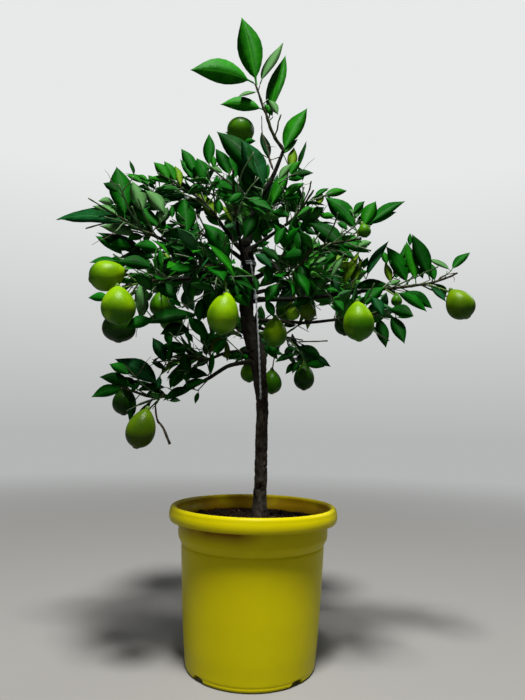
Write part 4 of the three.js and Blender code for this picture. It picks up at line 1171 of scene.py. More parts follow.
# The stem goes straight on from the bough's tip and then bends into the mass
def stemOf(name, points, radii):
    forward = unit(points[-1] - points[-2])
    foot = points[-1] + forward * clearance["gap"]
    start = foot + forward * stemRule["foot"]
    centre = centres[massNames.index(name)]
    if name in stemRoutes:
        route = [start, *stemRoutes[name]]
    else:
        end = centre + (centre - start) * stemRule["past"]
        middle = start + forward * np.linalg.norm(end - start) * stemRule["ease"]
        route = curvedPoints(start, middle, end)
    radii = (radii[1] * stemRule["swell"], twigRule["tipRadius"] * stemRule["swell"])
    return makeTwig(np.vstack([foot, *route]), radii, "stem")


# The points along all the twigs, between two shares of each, with their twigs and shares
def woodPoints(twigs, firstShare, lastShare):
    shares = np.arange(woodSamples + 1) / woodSamples
    shares = shares[(shares >= firstShare) & (shares <= lastShare)]
    points = np.concatenate([pointOn(twig, shares) for twig in twigs])
    return points, [(twig, share) for twig in twigs for share in shares]


def nearestWood(twigs, goal):
    points, places = woodPoints(twigs, *carrying)
    nearest = np.argmin(np.linalg.norm(points - goal, axis=1))
    return *places[nearest], points[nearest]


# A leaf ends at each listed tip, on a new twig where the wood is too far away
def growToTip(name, foliage, tip):
    tip = np.array(tip, float)
    points, places = woodPoints(foliage["twigs"], 0, 1)
    directions = np.array([directionOn(twig, share) for twig, share in places])
    reach = np.linalg.norm(tip - points, axis=1)
    along = (tip - points) / reach[:, None]
    backward = (along * directions).sum(axis=1) <= tipRule["backward"]
    miss = np.where(backward, np.inf, np.abs(reach - tipRule["length"]))
    best = np.argmin(miss)
    if miss[best] < tipRule["miss"]:
        tryLeaf(name, foliage, points[best], along[best], reach[best], False)
        return
    parent, share, point = nearestWood(foliage["twigs"], tip)
    along = unit(tip - point)
    end = tip - along * tipRule["length"]
    twig = twigBetween(parent, max(tipRule["lowest"], share - tipRule["upstream"]), end)
    if twigIsFree(name, twig, False) and not isOutside(seenAt(twig["points"])[0]):
        foliage["twigs"].append(twig)
        if not tryLeaf(name, foliage, end, along, tipRule["length"], False):
            foliage["twigs"].pop()


# Filling twigs leave the stem in a spiral and end on a smaller copy of the mass's ellipsoid
def growFilling(name, foliage):
    seed, centre, radii, count, _ = masses[name]
    stem = foliage["twigs"][0]
    axis = unit(stem["points"][-1] - stem["points"][0])
    for k in range(count):
        ahead = fillRule["behind"] + fillRule["span"] * (k + 0.5) / count
        turn = k * goldenAngle + chance(seed, k, draws["fan"])
        direction = turned(squareTo(axis), axis, turn) * math.sqrt(1 - ahead * ahead) + axis * ahead
        share = fillRule["first"] + fillRule["spread"] * k / count
        for reach in fillRule["reaches"]:
            twig = twigBetween(stem, share, np.array(centre) + direction * radii * reach)
            if twig["length"] > fillRule["shortest"] and twigIsFree(name, twig, True):
                foliage["twigs"].append(twig)
                break


def leafyTwigs(foliage):
    return [twig for twig in foliage["twigs"] if twig["kind"] in ("stem", "twig")]


# A short side twig forks from the middle of each longer twig
def growForks(name, foliage):
    seed = masses[name][0]
    parents = [twig for twig in leafyTwigs(foliage) if twig["length"] > forkRule["parentLength"]]
    for index, parent in enumerate(parents):
        forward = directionOn(parent, forkRule["share"])
        turn = index * 2 * goldenAngle + chance(seed, index, draws["fork"]) * forkRule["turns"]
        across = turned(squareTo(forward), forward, turn)
        length = forkRule["length"] + forkRule["variety"] * chance(seed, index, draws["forkLength"])
        end = pointOn(parent, forkRule["share"]) + (forward + across) * length * forkRule["splay"]
        twig = twigBetween(parent, forkRule["share"], end)
        if twigIsFree(name, twig, True):
            foliage["twigs"].append(twig)


# Each fruit hangs on a stalk of its own from the nearest wood
def growStalk(foliage, centre, length, hang):
    end = centre - hang * length * stalkRule["seat"]
    parent, share, _ = nearestWood(foliage["twigs"], end)
    start = pointOn(parent, max(stalkRule["lowest"], share - stalkRule["upstream"]))
    middle = end - hang * np.linalg.norm(end - start) * stalkRule["bend"]
    points = curvedPoints(start, middle, end + hang * stalkRule["sunk"])
    foliage["twigs"].append(makeTwig(points, [twigRule["tipRadius"]] * 2, "stalk"))


def growDryTwig(foliage, route):
    _, _, point = nearestWood(foliage["twigs"], route[0])
    points = np.vstack([point, route])
    foliage["twigs"].append(makeTwig(points, (twigRule["tipRadius"], dryRadius), "dry"))


# Leaves that show at the front of each mass: where the root and the tip are seen across and down
# a picture 525 wide and 700 tall, width seen and tint. "under" shows its pale underside. The
# darkest tint stands partly for painted shade inside the crown, and the brightest green partly
# for painted light through the top leaves.
seenLeaves = {
    "leader": [
        (256.5, 85, 241.5, 17, 24, "fresh"), (254, 83, 190, 70, 23, "fresh"),
        (260, 84, 283.5, 42.5, 10, "under"), (269, 118, 285.5, 55, 15, "fresh"),
        (268, 99, 278, 115, 8, "under"), (264, 110, 220, 104.5, 14, "fresh"),
        (258, 92, 238, 97, 4, "under"), (283, 153, 307.5, 108, 17, "fresh"),
        (291, 172, 294, 147, 10, "yellow"), (298, 171, 306.5, 141, 5, "deep"),
        (286, 179, 314, 173, 8, "deep"), (282, 156, 298, 139, 7, "fresh"),
        (269, 161, 261, 132, 9, "bluish"), (273, 117, 264, 104, 7, "fresh"),
        (242, 144, 256, 141, 6, "mid"), (239, 139, 225, 132, 5, "mid"),
    ],
    "front_top": [
        (256, 176, 216.5, 131.5, 22, "deep"), (265, 190, 241, 139, 22, "bluish"),
        (262, 198, 232, 157, 19, "deep"), (231, 262, 203, 223, 20, "mid"),
        (243, 226, 230, 201, 7, "under"), (233, 224, 222, 205, 5, "yellow"),
        (243, 241, 259, 212, 14, "deep"), (219, 216, 219, 199, 8, "mid"), (214, 169, 213, 155, 6, "fresh"),
        (237, 179, 229, 156, 7, "mid"), (267, 182, 268, 163, 5, "mid"),
    ],
    "upper_left": [
        (209, 168, 209, 133.5, 12, "mid"), (230, 177, 215.5, 148.5, 13, "mid"),
        (196, 177, 181, 148.5, 12, "mid"), (204, 184, 197, 158, 17, "mid"),
        (224, 174, 206, 167, 6, "under"), (170, 182, 153.5, 162, 11, "fresh"),
        (181, 187, 175, 165.5, 9, "yellow"), (171, 184, 148, 178, 7, "fresh"),
        (158, 192, 125, 173, 7, "mid"), (218, 221, 195, 192, 12, "yellow"), (220, 227, 205, 216, 8, "mid"),
        (176, 183, 164, 161, 10, "fresh"), (193, 181, 180, 159, 8, "mid"),
        (143, 184, 126, 175, 6, "fresh"), (156, 186, 148, 175, 6, "mid"), (151, 190, 138, 186, 5, "mid"),
        (149, 182, 136, 175, 5, "fresh"),
    ],
    "far_left": [
        (134, 176, 129.5, 160, 4, "deep"), (125, 219, 116.5, 166.5, 24, "mid"),
        (119, 193, 103, 183, 9, "deep"), (143, 214, 132, 181, 16, "under"),
        (165, 215, 145, 190, 15, "under"), (160, 224, 168, 207, 12, "under"),
        (160, 229, 129, 208, 15, "mid"), (130, 225, 55.5, 220, 16, "bluish"),
        (120, 218, 92, 206, 10, "under"), (138, 238, 99, 226, 12, "under"),
        (147, 262, 96.5, 232.5, 14, "deep"), (134, 249, 109, 245, 12, "mid"),
        (161, 251, 134, 245, 12, "mid"), (158, 259, 118, 258, 11, "deep"), (124, 257, 95, 236, 11, "mid"),
        (145, 237, 127, 239, 8, "mid"), (116, 204, 98, 201, 8, "under"), (140, 231, 126, 226, 5, "deep"),
    ],
    "left": [
        (121, 262, 89, 263, 7, "mid"), (124, 283, 107, 276, 7, "bluish"), (111, 300, 88, 298, 10, "mid"),
        (141, 280, 141, 322, 11, "under"), (203, 316, 141, 325, 14, "deep"),
        (192, 330, 160, 334.5, 15, "deep"), (152, 284, 178, 300, 13, "deep"),
        (155, 269, 117, 262, 14, "deep"), (155, 320, 126, 328, 13, "mid"), (142, 276, 129, 277, 5, "deep"),
        (133, 280, 119, 283, 6, "fresh"), (154, 292, 145, 303, 5, "mid"),
    ],
    "low_middle": [
        (166, 365, 152.5, 337.5, 13, "bluish"), (168, 364, 171, 346, 7, "mid"),
        (166, 371, 151, 362, 6, "deep"), (186, 385, 184, 351, 13, "deep"), (211, 377, 178, 373, 9, "deep"),
        (222, 336, 210, 352, 8, "olive"), (213, 350, 211, 375, 6, "mid"), (187, 316, 205, 339, 13, "mid"),
        (179, 370, 170, 389, 9, "deep"), (227, 338, 213, 354, 9, "mid"), (243, 354, 228, 360, 7, "deep"),
        (207, 376, 185, 378, 7, "deep"), (184, 332, 193, 342, 6, "deep"), (210, 361, 197, 367, 5, "deep"),
    ],
    "low_left": [
        (160, 387, 114.5, 359, 20, "bluish"), (133, 387, 99, 377, 13, "deep"),
        (126, 389, 91, 397.5, 13, "mid"), (136, 399, 129, 421, 8, "deep"), (168, 388, 136, 391, 8, "deep"),
        (195, 388, 163, 401, 10, "deep"), (168, 401, 181, 401, 5, "under"),
        (199, 391, 195, 404, 5, "deep"), (208, 380, 180, 390, 8, "mid"), (130, 376, 109, 364, 11, "mid"),
        (141, 382, 131, 392, 6, "deep"), (160, 375, 158, 389, 6, "bluish"),
    ],
    "middle_left": [
        (187, 236, 184, 198, 21, "mid"), (162, 237, 157, 210, 12, "mid"), (172, 219, 172, 205, 6, "mid"),
    ],
    "front_left": [
        (235, 277, 207, 243, 9, "fresh"), (196, 262, 170, 246, 8, "deep"),
        (227, 339, 227, 362, 6, "olive"), (202, 296, 199, 323, 12, "deep"),
        (255, 276, 257, 292, 7, "deep"), (235, 284, 238, 297, 6, "deep"), (182, 308, 168, 298, 6, "mid"),
        (237, 242, 233, 228, 5, "deep"),
    ],
    "upper_right": [
        (271, 206, 289, 172, 13, "fresh"), (283, 198, 305, 183, 9, "fresh"),
        (281, 200, 301, 198, 7, "mid"), (278, 181, 293, 163, 8, "under"),
        (322, 198, 347, 190.5, 8, "fresh"), (314, 198, 329, 188, 5, "mid"),
        (318, 207, 322, 192, 8, "yellow"), (357, 231, 325, 197, 20, "mid"),
        (319, 217, 335, 217, 7, "fresh"), (270, 212, 290, 217, 9, "mid"), (289, 176, 300, 161, 8, "fresh"),
        (297, 205, 300, 188, 7, "mid"), (287, 180, 303, 179, 7, "mid"), (331, 198, 347, 191, 5, "mid"),
    ],
    "right": [
        (345, 252, 310, 223, 20, "deep"), (363, 228, 376, 201, 15, "fresh"),
        (353, 214, 365, 201, 7, "mid"), (358, 219, 349, 209, 7, "under"),
        (369, 225, 405.5, 201, 11, "mid"), (356, 238, 371, 226, 9, "olive"),
        (357, 248, 372, 242, 8, "under"), (366, 279, 389, 240.5, 9, "bluish"),
        (343, 289, 360, 250, 9, "yellow"), (352, 289, 363, 258, 8, "yellow"),
        (330, 280, 345, 253, 7, "under"), (311, 268, 335, 254, 5, "under"),
        (339, 245, 370, 253, 10, "mid"), (364, 227, 397, 212, 11, "mid"), (336, 222, 348, 230, 6, "mid"),
        (324, 264, 338, 254, 8, "mid"), (363, 270, 368, 257, 6, "mid"), (355, 220, 364, 203, 6, "fresh"),
    ],
    "right_shoot": [
        (408, 285, 386, 246, 16, "mid"), (416, 284, 406, 241, 12, "fresh"),
        (430, 280, 412, 234, 16, "deep"), (435, 282, 429, 262, 9, "mid"), (451, 271, 427, 259, 6, "under"),
        (451, 271, 470.5, 252.5, 9, "mid"), (402, 291, 432.5, 309, 13, "deep"),
        (429, 286, 446, 302, 7, "bluish"), (352, 289, 392, 287, 12, "deep"),
        (389, 286, 401, 281, 6, "under"), (391, 284, 385, 262, 8, "yellow"),
        (395, 292, 427, 312, 11, "mid"), (382, 250, 387, 265, 7, "fresh"), (396, 318, 413, 317, 5, "mid"),
        (410, 247, 410, 233, 5, "mid"), (417, 266, 423, 279, 6, "mid"),
    ],
    "right_low": [
        (388, 309, 414, 316.5, 13, "deep"), (377, 316, 386, 348, 13, "deep"),
        (390, 314, 404.5, 344, 14, "deep"), (371, 296, 383, 316, 12, "bluish"),
        (333, 300, 344, 311, 9, "mid"), (362, 307, 385, 287, 13, "mid"), (329, 305, 341, 313, 5, "mid"),
        (325, 290, 339, 292, 5, "mid"),
    ],
    "centre_right": [
        (261, 249, 279, 261, 10, "deep"), (281, 259, 307, 256, 13, "deep"),
        (303, 262, 303, 288, 14, "deep"), (280, 284, 266, 302, 15, "mid"), (314, 300, 291, 306, 9, "deep"),
        (265, 299, 274, 318, 9, "mid"), (275, 247, 285, 227, 10, "mid"),
        (253, 253, 272, 268, 10, "bluish"), (302, 230, 316, 235, 6, "deep"),
        (261, 235, 274, 229, 6, "mid"), (280, 296, 291, 288, 6, "deep"), (278, 280, 290, 288, 6, "deep"),
        (257, 248, 270, 242, 6, "mid"),
    ],
    "under_right": [
        (303, 357, 331, 367, 10, "bluish"), (296, 346, 322, 359, 10, "deep"),
        (299, 354, 275, 362.5, 7, "deep"), (299, 361, 285.5, 374.5, 7, "deep"),
        (297, 351, 286, 348, 5, "deep"), (266, 345, 280, 355, 10, "mid"), (263, 346, 278, 360, 8, "mid"),
        (282, 326, 296, 326, 6, "deep"), (305, 365, 325, 367, 9, "mid"), (301, 313, 290, 322, 6, "yellow"),
        (302, 359, 292, 374, 6, "deep"),
    ],
}
seenTwigs = [  # dry twigs that show: mass, points seen in the picture and radius
    ("leader", [(273, 170), (267, 148), (262.5, 133), (261.5, 116)], 1.5),
    ("leader", [(267, 146), (271, 146.5), (276, 147)], 0.5),
    ("upper_right", [(302, 171), (308, 164), (315, 158)], 0.5),
    ("upper_right", [(300, 186), (306, 184.5), (312, 183)], 0.5),
    ("far_left", [(112, 182), (108, 174), (104.5, 170)], 0.5),
    ("far_left", [(104, 239), (98, 241), (92, 245)], 0.6),
    ("low_left", [(140, 372), (145, 364), (151, 356.5)], 0.6),
    ("right_shoot", [(438, 279), (449, 274), (457, 273)], 1.1),
    ("right_shoot", [(453, 275), (454.5, 279), (454, 282)], 0.6),
    ("left", [(215, 298), (178, 308), (150, 322), (138, 326), (136, 337)], 0.9),
    ("centre_right", [(284, 321), (296, 325), (309, 332)], 0.9),
    ("front_left", [(240, 331), (236, 336), (233, 338)], 0.6),
]
# Where the picture shows sky: outside the outline of the crown, and in the gaps within it
crownOutline = [
    (241, 17), (264, 58), (280, 44), (274, 57), (278, 61), (285, 56), (273, 91), (277, 113), (269, 119),
    (274, 139), (278, 143), (307, 108), (293, 147), (298, 153), (304, 145), (300, 163), (312, 173),
    (302, 180), (306, 190), (312, 195), (328, 188), (347, 191), (337, 199), (351, 213), (364, 201),
    (375, 201), (380, 210), (404, 201), (363, 236), (371, 242), (367, 249), (374, 255), (388, 241),
    (394, 249), (412, 235), (430, 261), (450, 267), (469, 253), (454, 269), (457, 273), (440, 282),
    (467, 294), (473, 307), (468, 316), (456, 318), (426, 286), (415, 286), (411, 290), (432, 309),
    (412, 308), (408, 312), (413, 317), (402, 323), (404, 343), (391, 329), (386, 347), (372, 333),
    (360, 342), (351, 340), (338, 323), (314, 323), (308, 332), (300, 328), (293, 335), (303, 338),
    (329, 367), (316, 366), (311, 387), (303, 390), (285, 374), (291, 363), (287, 359), (265, 360),
    (279, 380), (278, 389), (267, 397), (267, 469), (254, 469), (255, 387), (245, 387), (246, 366),
    (233, 364), (202, 386), (195, 403), (186, 391), (178, 403), (167, 400), (159, 406), (169, 444),
    (158, 424), (150, 440), (132, 450), (127, 415), (113, 407), (110, 395), (91, 397), (106, 383),
    (99, 376), (116, 364), (114, 359), (141, 367), (154, 354), (152, 338), (160, 343), (166, 328),
    (143, 326), (136, 336), (109, 340), (103, 331), (108, 321), (104, 306), (88, 298), (96, 292),
    (88, 279), (89, 262), (113, 255), (99, 241), (93, 243), (96, 233), (112, 235), (116, 230), (99, 220),
    (56, 220), (67, 210), (101, 211), (105, 206), (95, 204), (108, 197), (103, 182), (115, 167),
    (123, 175), (130, 162), (137, 176), (147, 178), (161, 172), (153, 163), (161, 162), (181, 174),
    (181, 149), (198, 159), (208, 134), (216, 149), (216, 132), (223, 133), (234, 117), (249, 120),
    (251, 141), (260, 153), (261, 129), (267, 144), (275, 142), (258, 104), (242, 112), (220, 105),
    (236, 96), (251, 95), (254, 101), (259, 94), (250, 82), (223, 84), (210, 72), (190, 70), (207, 59),
    (240, 60),
]
skyGaps = [  # middle and radius
    (235, 344, 7.6), (323, 312, 7.2), (285, 166, 5.7), (164, 213, 5.4), (217, 365, 5.4), (378, 273, 5.1),
    (272, 151, 5), (442, 271, 5), (156, 372, 5), (149, 366, 4.5), (183, 344, 4.2), (274, 159, 4.1),
    (279, 208, 4.1), (287, 268, 4.1), (239, 268, 4), (410, 280, 4), (422, 280, 4), (288, 343, 4),
    (253, 200, 3.6), (291, 219, 3.6), (230, 261, 3.6), (151, 314, 3.6), (237, 330, 3.6), (200, 348, 3.6),
    (270, 239, 3.2), (273, 244, 3.2), (290, 276, 3.2), (181, 279, 3.2), (403, 282, 3.2), (182, 291, 3.2),
    (282, 349, 3.2), (204, 369, 3.2), (172, 221, 3), (287, 226, 3), (381, 264, 3), (147, 319, 3),
]
seenRule = {
    "middle": (262.5, 350), "ratio": 0.40, "narrow": 0.33, "nearTip": 14, "twigRadii": (0.9, 0.75),
    "reach": 1.5, "forward": 2.5, "thinning": 0.5, "raised": 0.4, "upright": 0.3, "lean": (0.05, 0.42),
    "stretch": 1.12, "ease": 0.8, "depths": (-156, 145), "highest": 793, "behind": 4, "fruitHalf": 0.42,
}


# A point in the picture, at a depth in the model: turned back by the camera's roll and pitch
def placeSeen(spot, depth):
    roll, pitch = math.radians(view["roll"]), math.radians(view["pitch"] - 90)
    right, up = spot[0] - seenRule["middle"][0], seenRule["middle"][1] - spot[1]
    sideways = (right * math.cos(roll) - up * math.sin(roll)) / view["focalLength"]
    rise = (right * math.sin(roll) + up * math.cos(roll)) / view["focalLength"]
    forward = (depth - view["place"][1]) / (math.cos(pitch) - rise * math.sin(pitch))
    height = forward * (math.sin(pitch) + rise * math.cos(pitch))
    return np.array([view["place"][0] + sideways * forward, depth, view["place"][2] + height])


# Where points of the model are seen in the picture, and how far away they are
def seenAt(points):
    roll, pitch = math.radians(view["roll"]), math.radians(view["pitch"] - 90)
    x, y, z = (np.asarray(points, float) - view["place"]).T
    forward = y * math.cos(pitch) + z * math.sin(pitch)
    right = x / forward * view["focalLength"]
    up = (z * math.cos(pitch) - y * math.sin(pitch)) / forward * view["focalLength"]
    across = right * math.cos(roll) + up * math.sin(roll)
    down = right * math.sin(roll) - up * math.cos(roll)
    return np.stack([across, down], axis=1) + seenRule["middle"], forward


# The wood of a mass that is seen nearest to a spot: its twig, the share along it and its point
def woodSeenNear(twigs, spot):
    points, places = woodPoints(twigs, *carrying)
    nearest = np.argmin(np.linalg.norm(seenAt(points)[0] - spot, axis=1))
    return *places[nearest], points[nearest]


# One leaf that shows. It leans back where it points up and forward where it hangs, by a drawn
# angle or more where it is wide, so that its face is turned up, but less where that stretches it.
# One that lies level is turned about its length for that, and a narrow one is turned further.
def growSeenLeaf(foliage, rootSpot, tipSpot, width, tint):
    parent, share, point = woodSeenNear(foliage["twigs"], rootSpot)
    root = placeSeen(rootSpot, point[1])
    if np.linalg.norm(root - point) > seenRule["reach"]:
        twig = twigBetween(parent, max(tipRule["lowest"], share - stalkRule["upstream"]), root)
        foliage["twigs"].append({**twig, "radii": seenRule["twigRadii"], "kind": "fine"})
    tip = placeSeen(tipSpot, point[1])
    length = np.linalg.norm(tip - root)
    width = width * length / np.linalg.norm(np.subtract(tipSpot, rootSpot))
    numbers = int(rootSpot[0]), int(rootSpot[1])
    low, high = seenRule["lean"]
    lean = length * math.tan(low + (high - low) * chance(*numbers, draws["length"]))
    lean = max(lean, math.sqrt(max(0, (width / seenRule["ratio"]) ** 2 - length**2)))
    risen = (tip - root)[2] / length
    if risen < 0 or abs(risen) < seenRule["upright"] and chance(*numbers, draws["fan"]) < 0.5:
        lean = -lean
    tip = placeSeen(tipSpot, np.clip(point[1] + lean, *seenRule["depths"]))
    while np.linalg.norm(tip - root) > length * seenRule["stretch"] or tip[2] > seenRule["highest"]:
        lean = lean * seenRule["ease"]
        tip = placeSeen(tipSpot, np.clip(point[1] + lean, *seenRule["depths"]))
    along = unit(tip - root)
    length = np.linalg.norm(tip - root)
    towards = squareBlade(unit(np.array(view["place"]) - root), along)
    side = np.cross(along, towards)
    ratio = max(width / length / math.cos(seenRule["raised"] * abs(side[2])), seenRule["narrow"])
    turn = math.acos(min(1, width / length / ratio))
    if side[2] < 0 or abs(side[2]) < seenRule["upright"] and chance(*numbers, draws["turn"]) < 0.5:
        turn = -turn
    normal = towards * math.cos(turn) + side * math.sin(turn)
    leaf = makeLeaf(root, along, -normal if tint == "under" else normal, length, ratio=ratio, tint=tint)
    foliage["leaves"].append(leaf)
    left, right = leaf["triangles"][0][1], leaf["triangles"][1][2]
    spots, away = seenAt([root, left, tip, right])
    keptOutlines.append((spots, away.mean()))


# A dry twig from the wood nearest to its first spot, lying at that depth and a little forward
def growSeenTwig(foliage, spots, radius):
    _, _, point = woodSeenNear(foliage["twigs"], spots[0])
    depths = point[1] - seenRule["forward"] * np.arange(len(spots))
    points = np.vstack([point, [placeSeen(spot, depth) for spot, depth in zip(spots, depths)]])
    foliage["twigs"].append(makeTwig(points, (radius, radius * seenRule["thinning"]), "dry"))


# Outlines in the picture, with their distances, that no other leaf may hide: those leaves and
# the fruit at the front
keptOutlines = []


def hidesKept(points):
    spots, away = seenAt(points)
    edges = np.roll(keptCorners, -1, axis=1) - keptCorners
    reach = spots[:, None, None] - keptCorners
    turns = edges[..., 0] * reach[..., 1] - edges[..., 1] * reach[..., 0]
    inside = (turns > 0).all(axis=2) | (turns < 0).all(axis=2)
    return (inside & (away[:, None] < keptAway + seenRule["behind"])).any()


# Whether a spot is outside the crown's outline, by the edges that a line to the right crosses
def isOutside(spots):
    start = np.array(crownOutline, float)
    end = np.roll(start, -1, axis=0)
    x, y = spots[:, 0, None], spots[:, 1, None]
    spans = (start[:, 1] > y) != (end[:, 1] > y)
    rise = np.where(end[:, 1] == start[:, 1], 1, end[:, 1] - start[:, 1])
    crossed = spans & (x < start[:, 0] + (y - start[:, 1]) / rise * (end[:, 0] - start[:, 0]))
    return (crossed.sum(axis=1) % 2 == 0).any()


# A leaf is over the sky where it leaves the crown's outline or comes into a gap
def isOverSky(points):
    spots, _ = seenAt(points)
    gaps = np.array(skyGaps)
    return isOutside(spots) or (np.linalg.norm(spots[:, None] - gaps[:, :2], axis=2) < gaps[:, 2]).any()


# Finer growth: side twigs with smaller leaves, and thin bare twigs, in the free space left

fineRule = {
    "parentLength": 20, "shares": (0.12, 0.2, 0.29, 0.38, 0.47, 0.56, 0.66, 0.76, 0.86, 0.95),
    "lengths": (14, 32), "angle": 48, "lift": 0.12, "turns": 2, "radii": (0.85, 0.6), "bend": 0.18,
    "bare": 0.4, "seed": 900,
}
bareRule = {
    "shares": (0.2, 0.38, 0.55, 0.72, 0.88), "chance": 0.5, "lengths": (10, 28), "radii": (0.7, 0.4),
}
fineLeaf = {
    **leafRule, "length": 50, "spacing": 12, "shortest": 0.72, "variety": 0.5, "attempts": 7,
    "shrink": 0.92, "lift": -0.1, "crowding": 0.12,
}


def fineTwig(parent, share, number, rule, seed, kind):
    forward = directionOn(parent, share)
    turn = number * goldenAngle + chance(seed, number, draws["fork"]) * fineRule["turns"]
    shortest, longest = rule["lengths"]
    length = shortest + (longest - shortest) * chance(seed, number, draws["forkLength"])
    start = pointOn(parent, share)
    end = start + leaning(forward, turn, math.radians(fineRule["angle"]), fineRule["lift"]) * length
    middle = (start + end) / 2 + forward * length * fineRule["bend"]
    return makeTwig(curvedPoints(start, middle, end), rule["radii"], kind)


def isShownTwigFree(name, twig):
    points = pointOn(twig, twigSamples)
    return twigIsFree(name, twig, True) and not isOutside(seenAt(points)[0]) and not hidesKept(points)


def growFiner(name, foliage):
    seed = masses[name][0] + fineRule["seed"]
    leafy = leafyTwigs(foliage)
    number = 0
    for parent in leafy:
        for share in fineRule["shares"]:
            number += 1
            twig = fineTwig(parent, share, number, fineRule, seed, "fine")
            if parent["length"] > fineRule["parentLength"] and isShownTwigFree(name, twig):
                before = len(foliage["leaves"])
                foliage["twigs"].append(twig)
                leafTwig(name, foliage, twig, fineRule["bare"], fineLeaf)
                if len(foliage["leaves"]) == before:
                    foliage["twigs"].pop()
    for parent in leafy:
        for share in bareRule["shares"]:
            number += 1
            twig = fineTwig(parent, share, number, bareRule, seed, "bare")
            if chance(seed, number, draws["turn"]) < bareRule["chance"] and isShownTwigFree(name, twig):
                foliage["twigs"].append(twig)


def countGrowth(title):
    counts = [sum(len(foliage[kind]) for foliage in foliages.values()) for kind in ("twigs", "leaves")]
    print(title, counts[0], "twigs,", counts[1], "leaves")


# The stems, stalks and dry twigs come first, because other masses keep clear of them

heights, places, radii = zip(*trunk["stations"])
addObstacle(np.stack([places, np.zeros(len(places)), heights], axis=1), radii)
addObstacle(stringTail, [stringRadius] * len(stringTail))
boughLines = {name: boughPoints(name) for name in boughs}
for name, line in boughLines.items():
    addObstacle(line, np.linspace(*boughs[name][3], len(line)))
for _, centre, length, width, hang, _ in fruits:
    half = hang * (length - width) / 2
    addObstacle([centre - half, centre + half], [width / 2, width / 2])
foliages = {}
for name in massNames:
    foliage = {"twigs": [stemOf(name, boughLines[name], boughs[name][3])], "leaves": [], "tries": 0}
    foliages[name] = foliage
    for owner, centre, length, _, hang, _ in fruits:
        if owner == name:
            growStalk(foliage, centre, length, hang)
    if name in dryTwigs:
        growDryTwig(foliage, dryTwigs[name])
    for twig in foliage["twigs"]:
        addObstacle(twig["points"], np.linspace(*twig["radii"], len(twig["points"])), name)
limbs = gatherObstacles()

# Then what shows at the front, with the outlines that are to stay free

for _, centre, length, width, _, _ in fruits:
    if centre[1] < 0:
        (spot,), (away,) = seenAt([centre])
        half = np.array([width, length]) * view["focalLength"] / away * seenRule["fruitHalf"]
        keptOutlines.append((spot + np.array([[-1, -1], [1, -1], [1, 1], [-1, 1]]) * half, away))
for name, foliage in foliages.items():
    growFilling(name, foliage)
    growForks(name, foliage)
    for rootX, rootY, tipX, tipY, width, tint in seenLeaves.get(name, ()):
        growSeenLeaf(foliage, (rootX, rootY), (tipX, tipY), width, tint)
    for owner, spots, radius in seenTwigs:
        if owner == name:
            growSeenTwig(foliage, spots, radius)
keptCorners, keptAway = (np.array(column) for column in zip(*keptOutlines))

# And then the rule's own leaves. A listed tip whose leaf the table holds already is left out.

seenTips = np.array([row[2:4] for rows in seenLeaves.values() for row in rows])
for name, foliage in foliages.items():
    leafy = leafyTwigs(foliage)
    for tip in masses[name][4]:
        apart = np.linalg.norm(seenTips - seenAt([tip])[0], axis=1).min()
        if apart > seenRule["nearTip"] or masses[name][1][1] > 0:
            growToTip(name, foliage, tip)
    if name != openMass:
        for index, twig in enumerate(leafy):
            leafTwig(name, foliage, twig, stemRule["bare" if index == 0 else "twigBare"])
countGrowth("growth of the solids:")
for name, foliage in foliages.items():
    if name != openMass:
        growFiner(name, foliage)
countGrowth("finer growth:")


# Twigs: smooth tubes through the grown points, slimmer than the solids, a little crooked

twigMake = {
    "slim": 0.82, "steps": 8, "ringStep": 4.5, "crook": 0.8, "crookSize": 9, "crookGap": 7, "knot": 0.12,
    "knotTurn": 0.9,
}
twigLooks = {
    "stem": {
        **barkLook, "dark": (0.013, 0.015, 0.006), "light": (0.040, 0.040, 0.018), "patchScale": 220,
    },
    "stalk": {
        "roughness": 0.5, "specular": 0.2, "patchScale": 160, "dark": (0.035, 0.085, 0.008),
        "light": (0.085, 0.160, 0.022), "grainScale": 1400, "grainDepth": 0.25,
    },
    "twig": {
        "roughness": 0.55, "patchScale": 160, "dark": (0.016, 0.040, 0.008), "light": (0.040, 0.095, 0.018),
        "grainScale": 1400, "grainDepth": 0.25,
    },
    "dry": {
        "roughness": 0.85, "patchScale": 240, "dark": (0.030, 0.020, 0.012), "light": (0.11, 0.085, 0.055),
        "grainScale": 1600, "grainDepth": 0.4,
    },
    "bare": {
        "roughness": 0.7, "specular": 0.2, "patchScale": 60, "dark": (0.006, 0.012, 0.004),
        "light": (0.030, 0.036, 0.015), "grainScale": 1600, "grainDepth": 0.4,
    },
}
twigPieces = [  # piece, kind of twig in it, its look and sides
    ("stemWood", "stem", "stem", 6), ("greenTwigs", "twig", "twig", 6), ("fineTwigs", "fine", "twig", 5),
    ("fruitStalks", "stalk", "stalk", 6), ("dryTwigs", "dry", "dry", 6), ("bareTwigs", "bare", "bare", 5),
]


# Radii taper evenly from end to end and swell in a sine wave of small knots
def twigPart(twig, number, sides):
    smooth = splinePoints(twig["points"], twigMake["steps"] * len(twig["points"]))
    path = evenly(smooth, twigMake["ringStep"])
    wave = number, number, twigMake["crookGap"]
    path, travelled = crooked(path, twigMake["crook"], twigMake["crookSize"], *wave)
    knots = 1 + twigMake["knot"] * np.sin(travelled * twigMake["knotTurn"] + number)
    return tubePart(path, np.linspace(*twig["radii"], len(path)) * twigMake["slim"] * knots, sides)


foliageNodes = [name for name in nodeNames if name.startswith("foliage_")]
allTwigs = [twig for foliage in foliages.values() for twig in foliage["twigs"]]
for name, kind, look, sides in twigPieces:
    parts = [twigPart(twig, number, sides) for number, twig in enumerate(allTwigs) if twig["kind"] == kind]
    piece = makePiece(name, joinParts(parts), [plainMaterial(name, twigLooks[look])])
    finishPiece(piece, "foliage", *(foliageNodes if name == "stemWood" else ()))
print("twigs made")


# Leaves: one blade outline, bent and twisted a little differently for each leaf

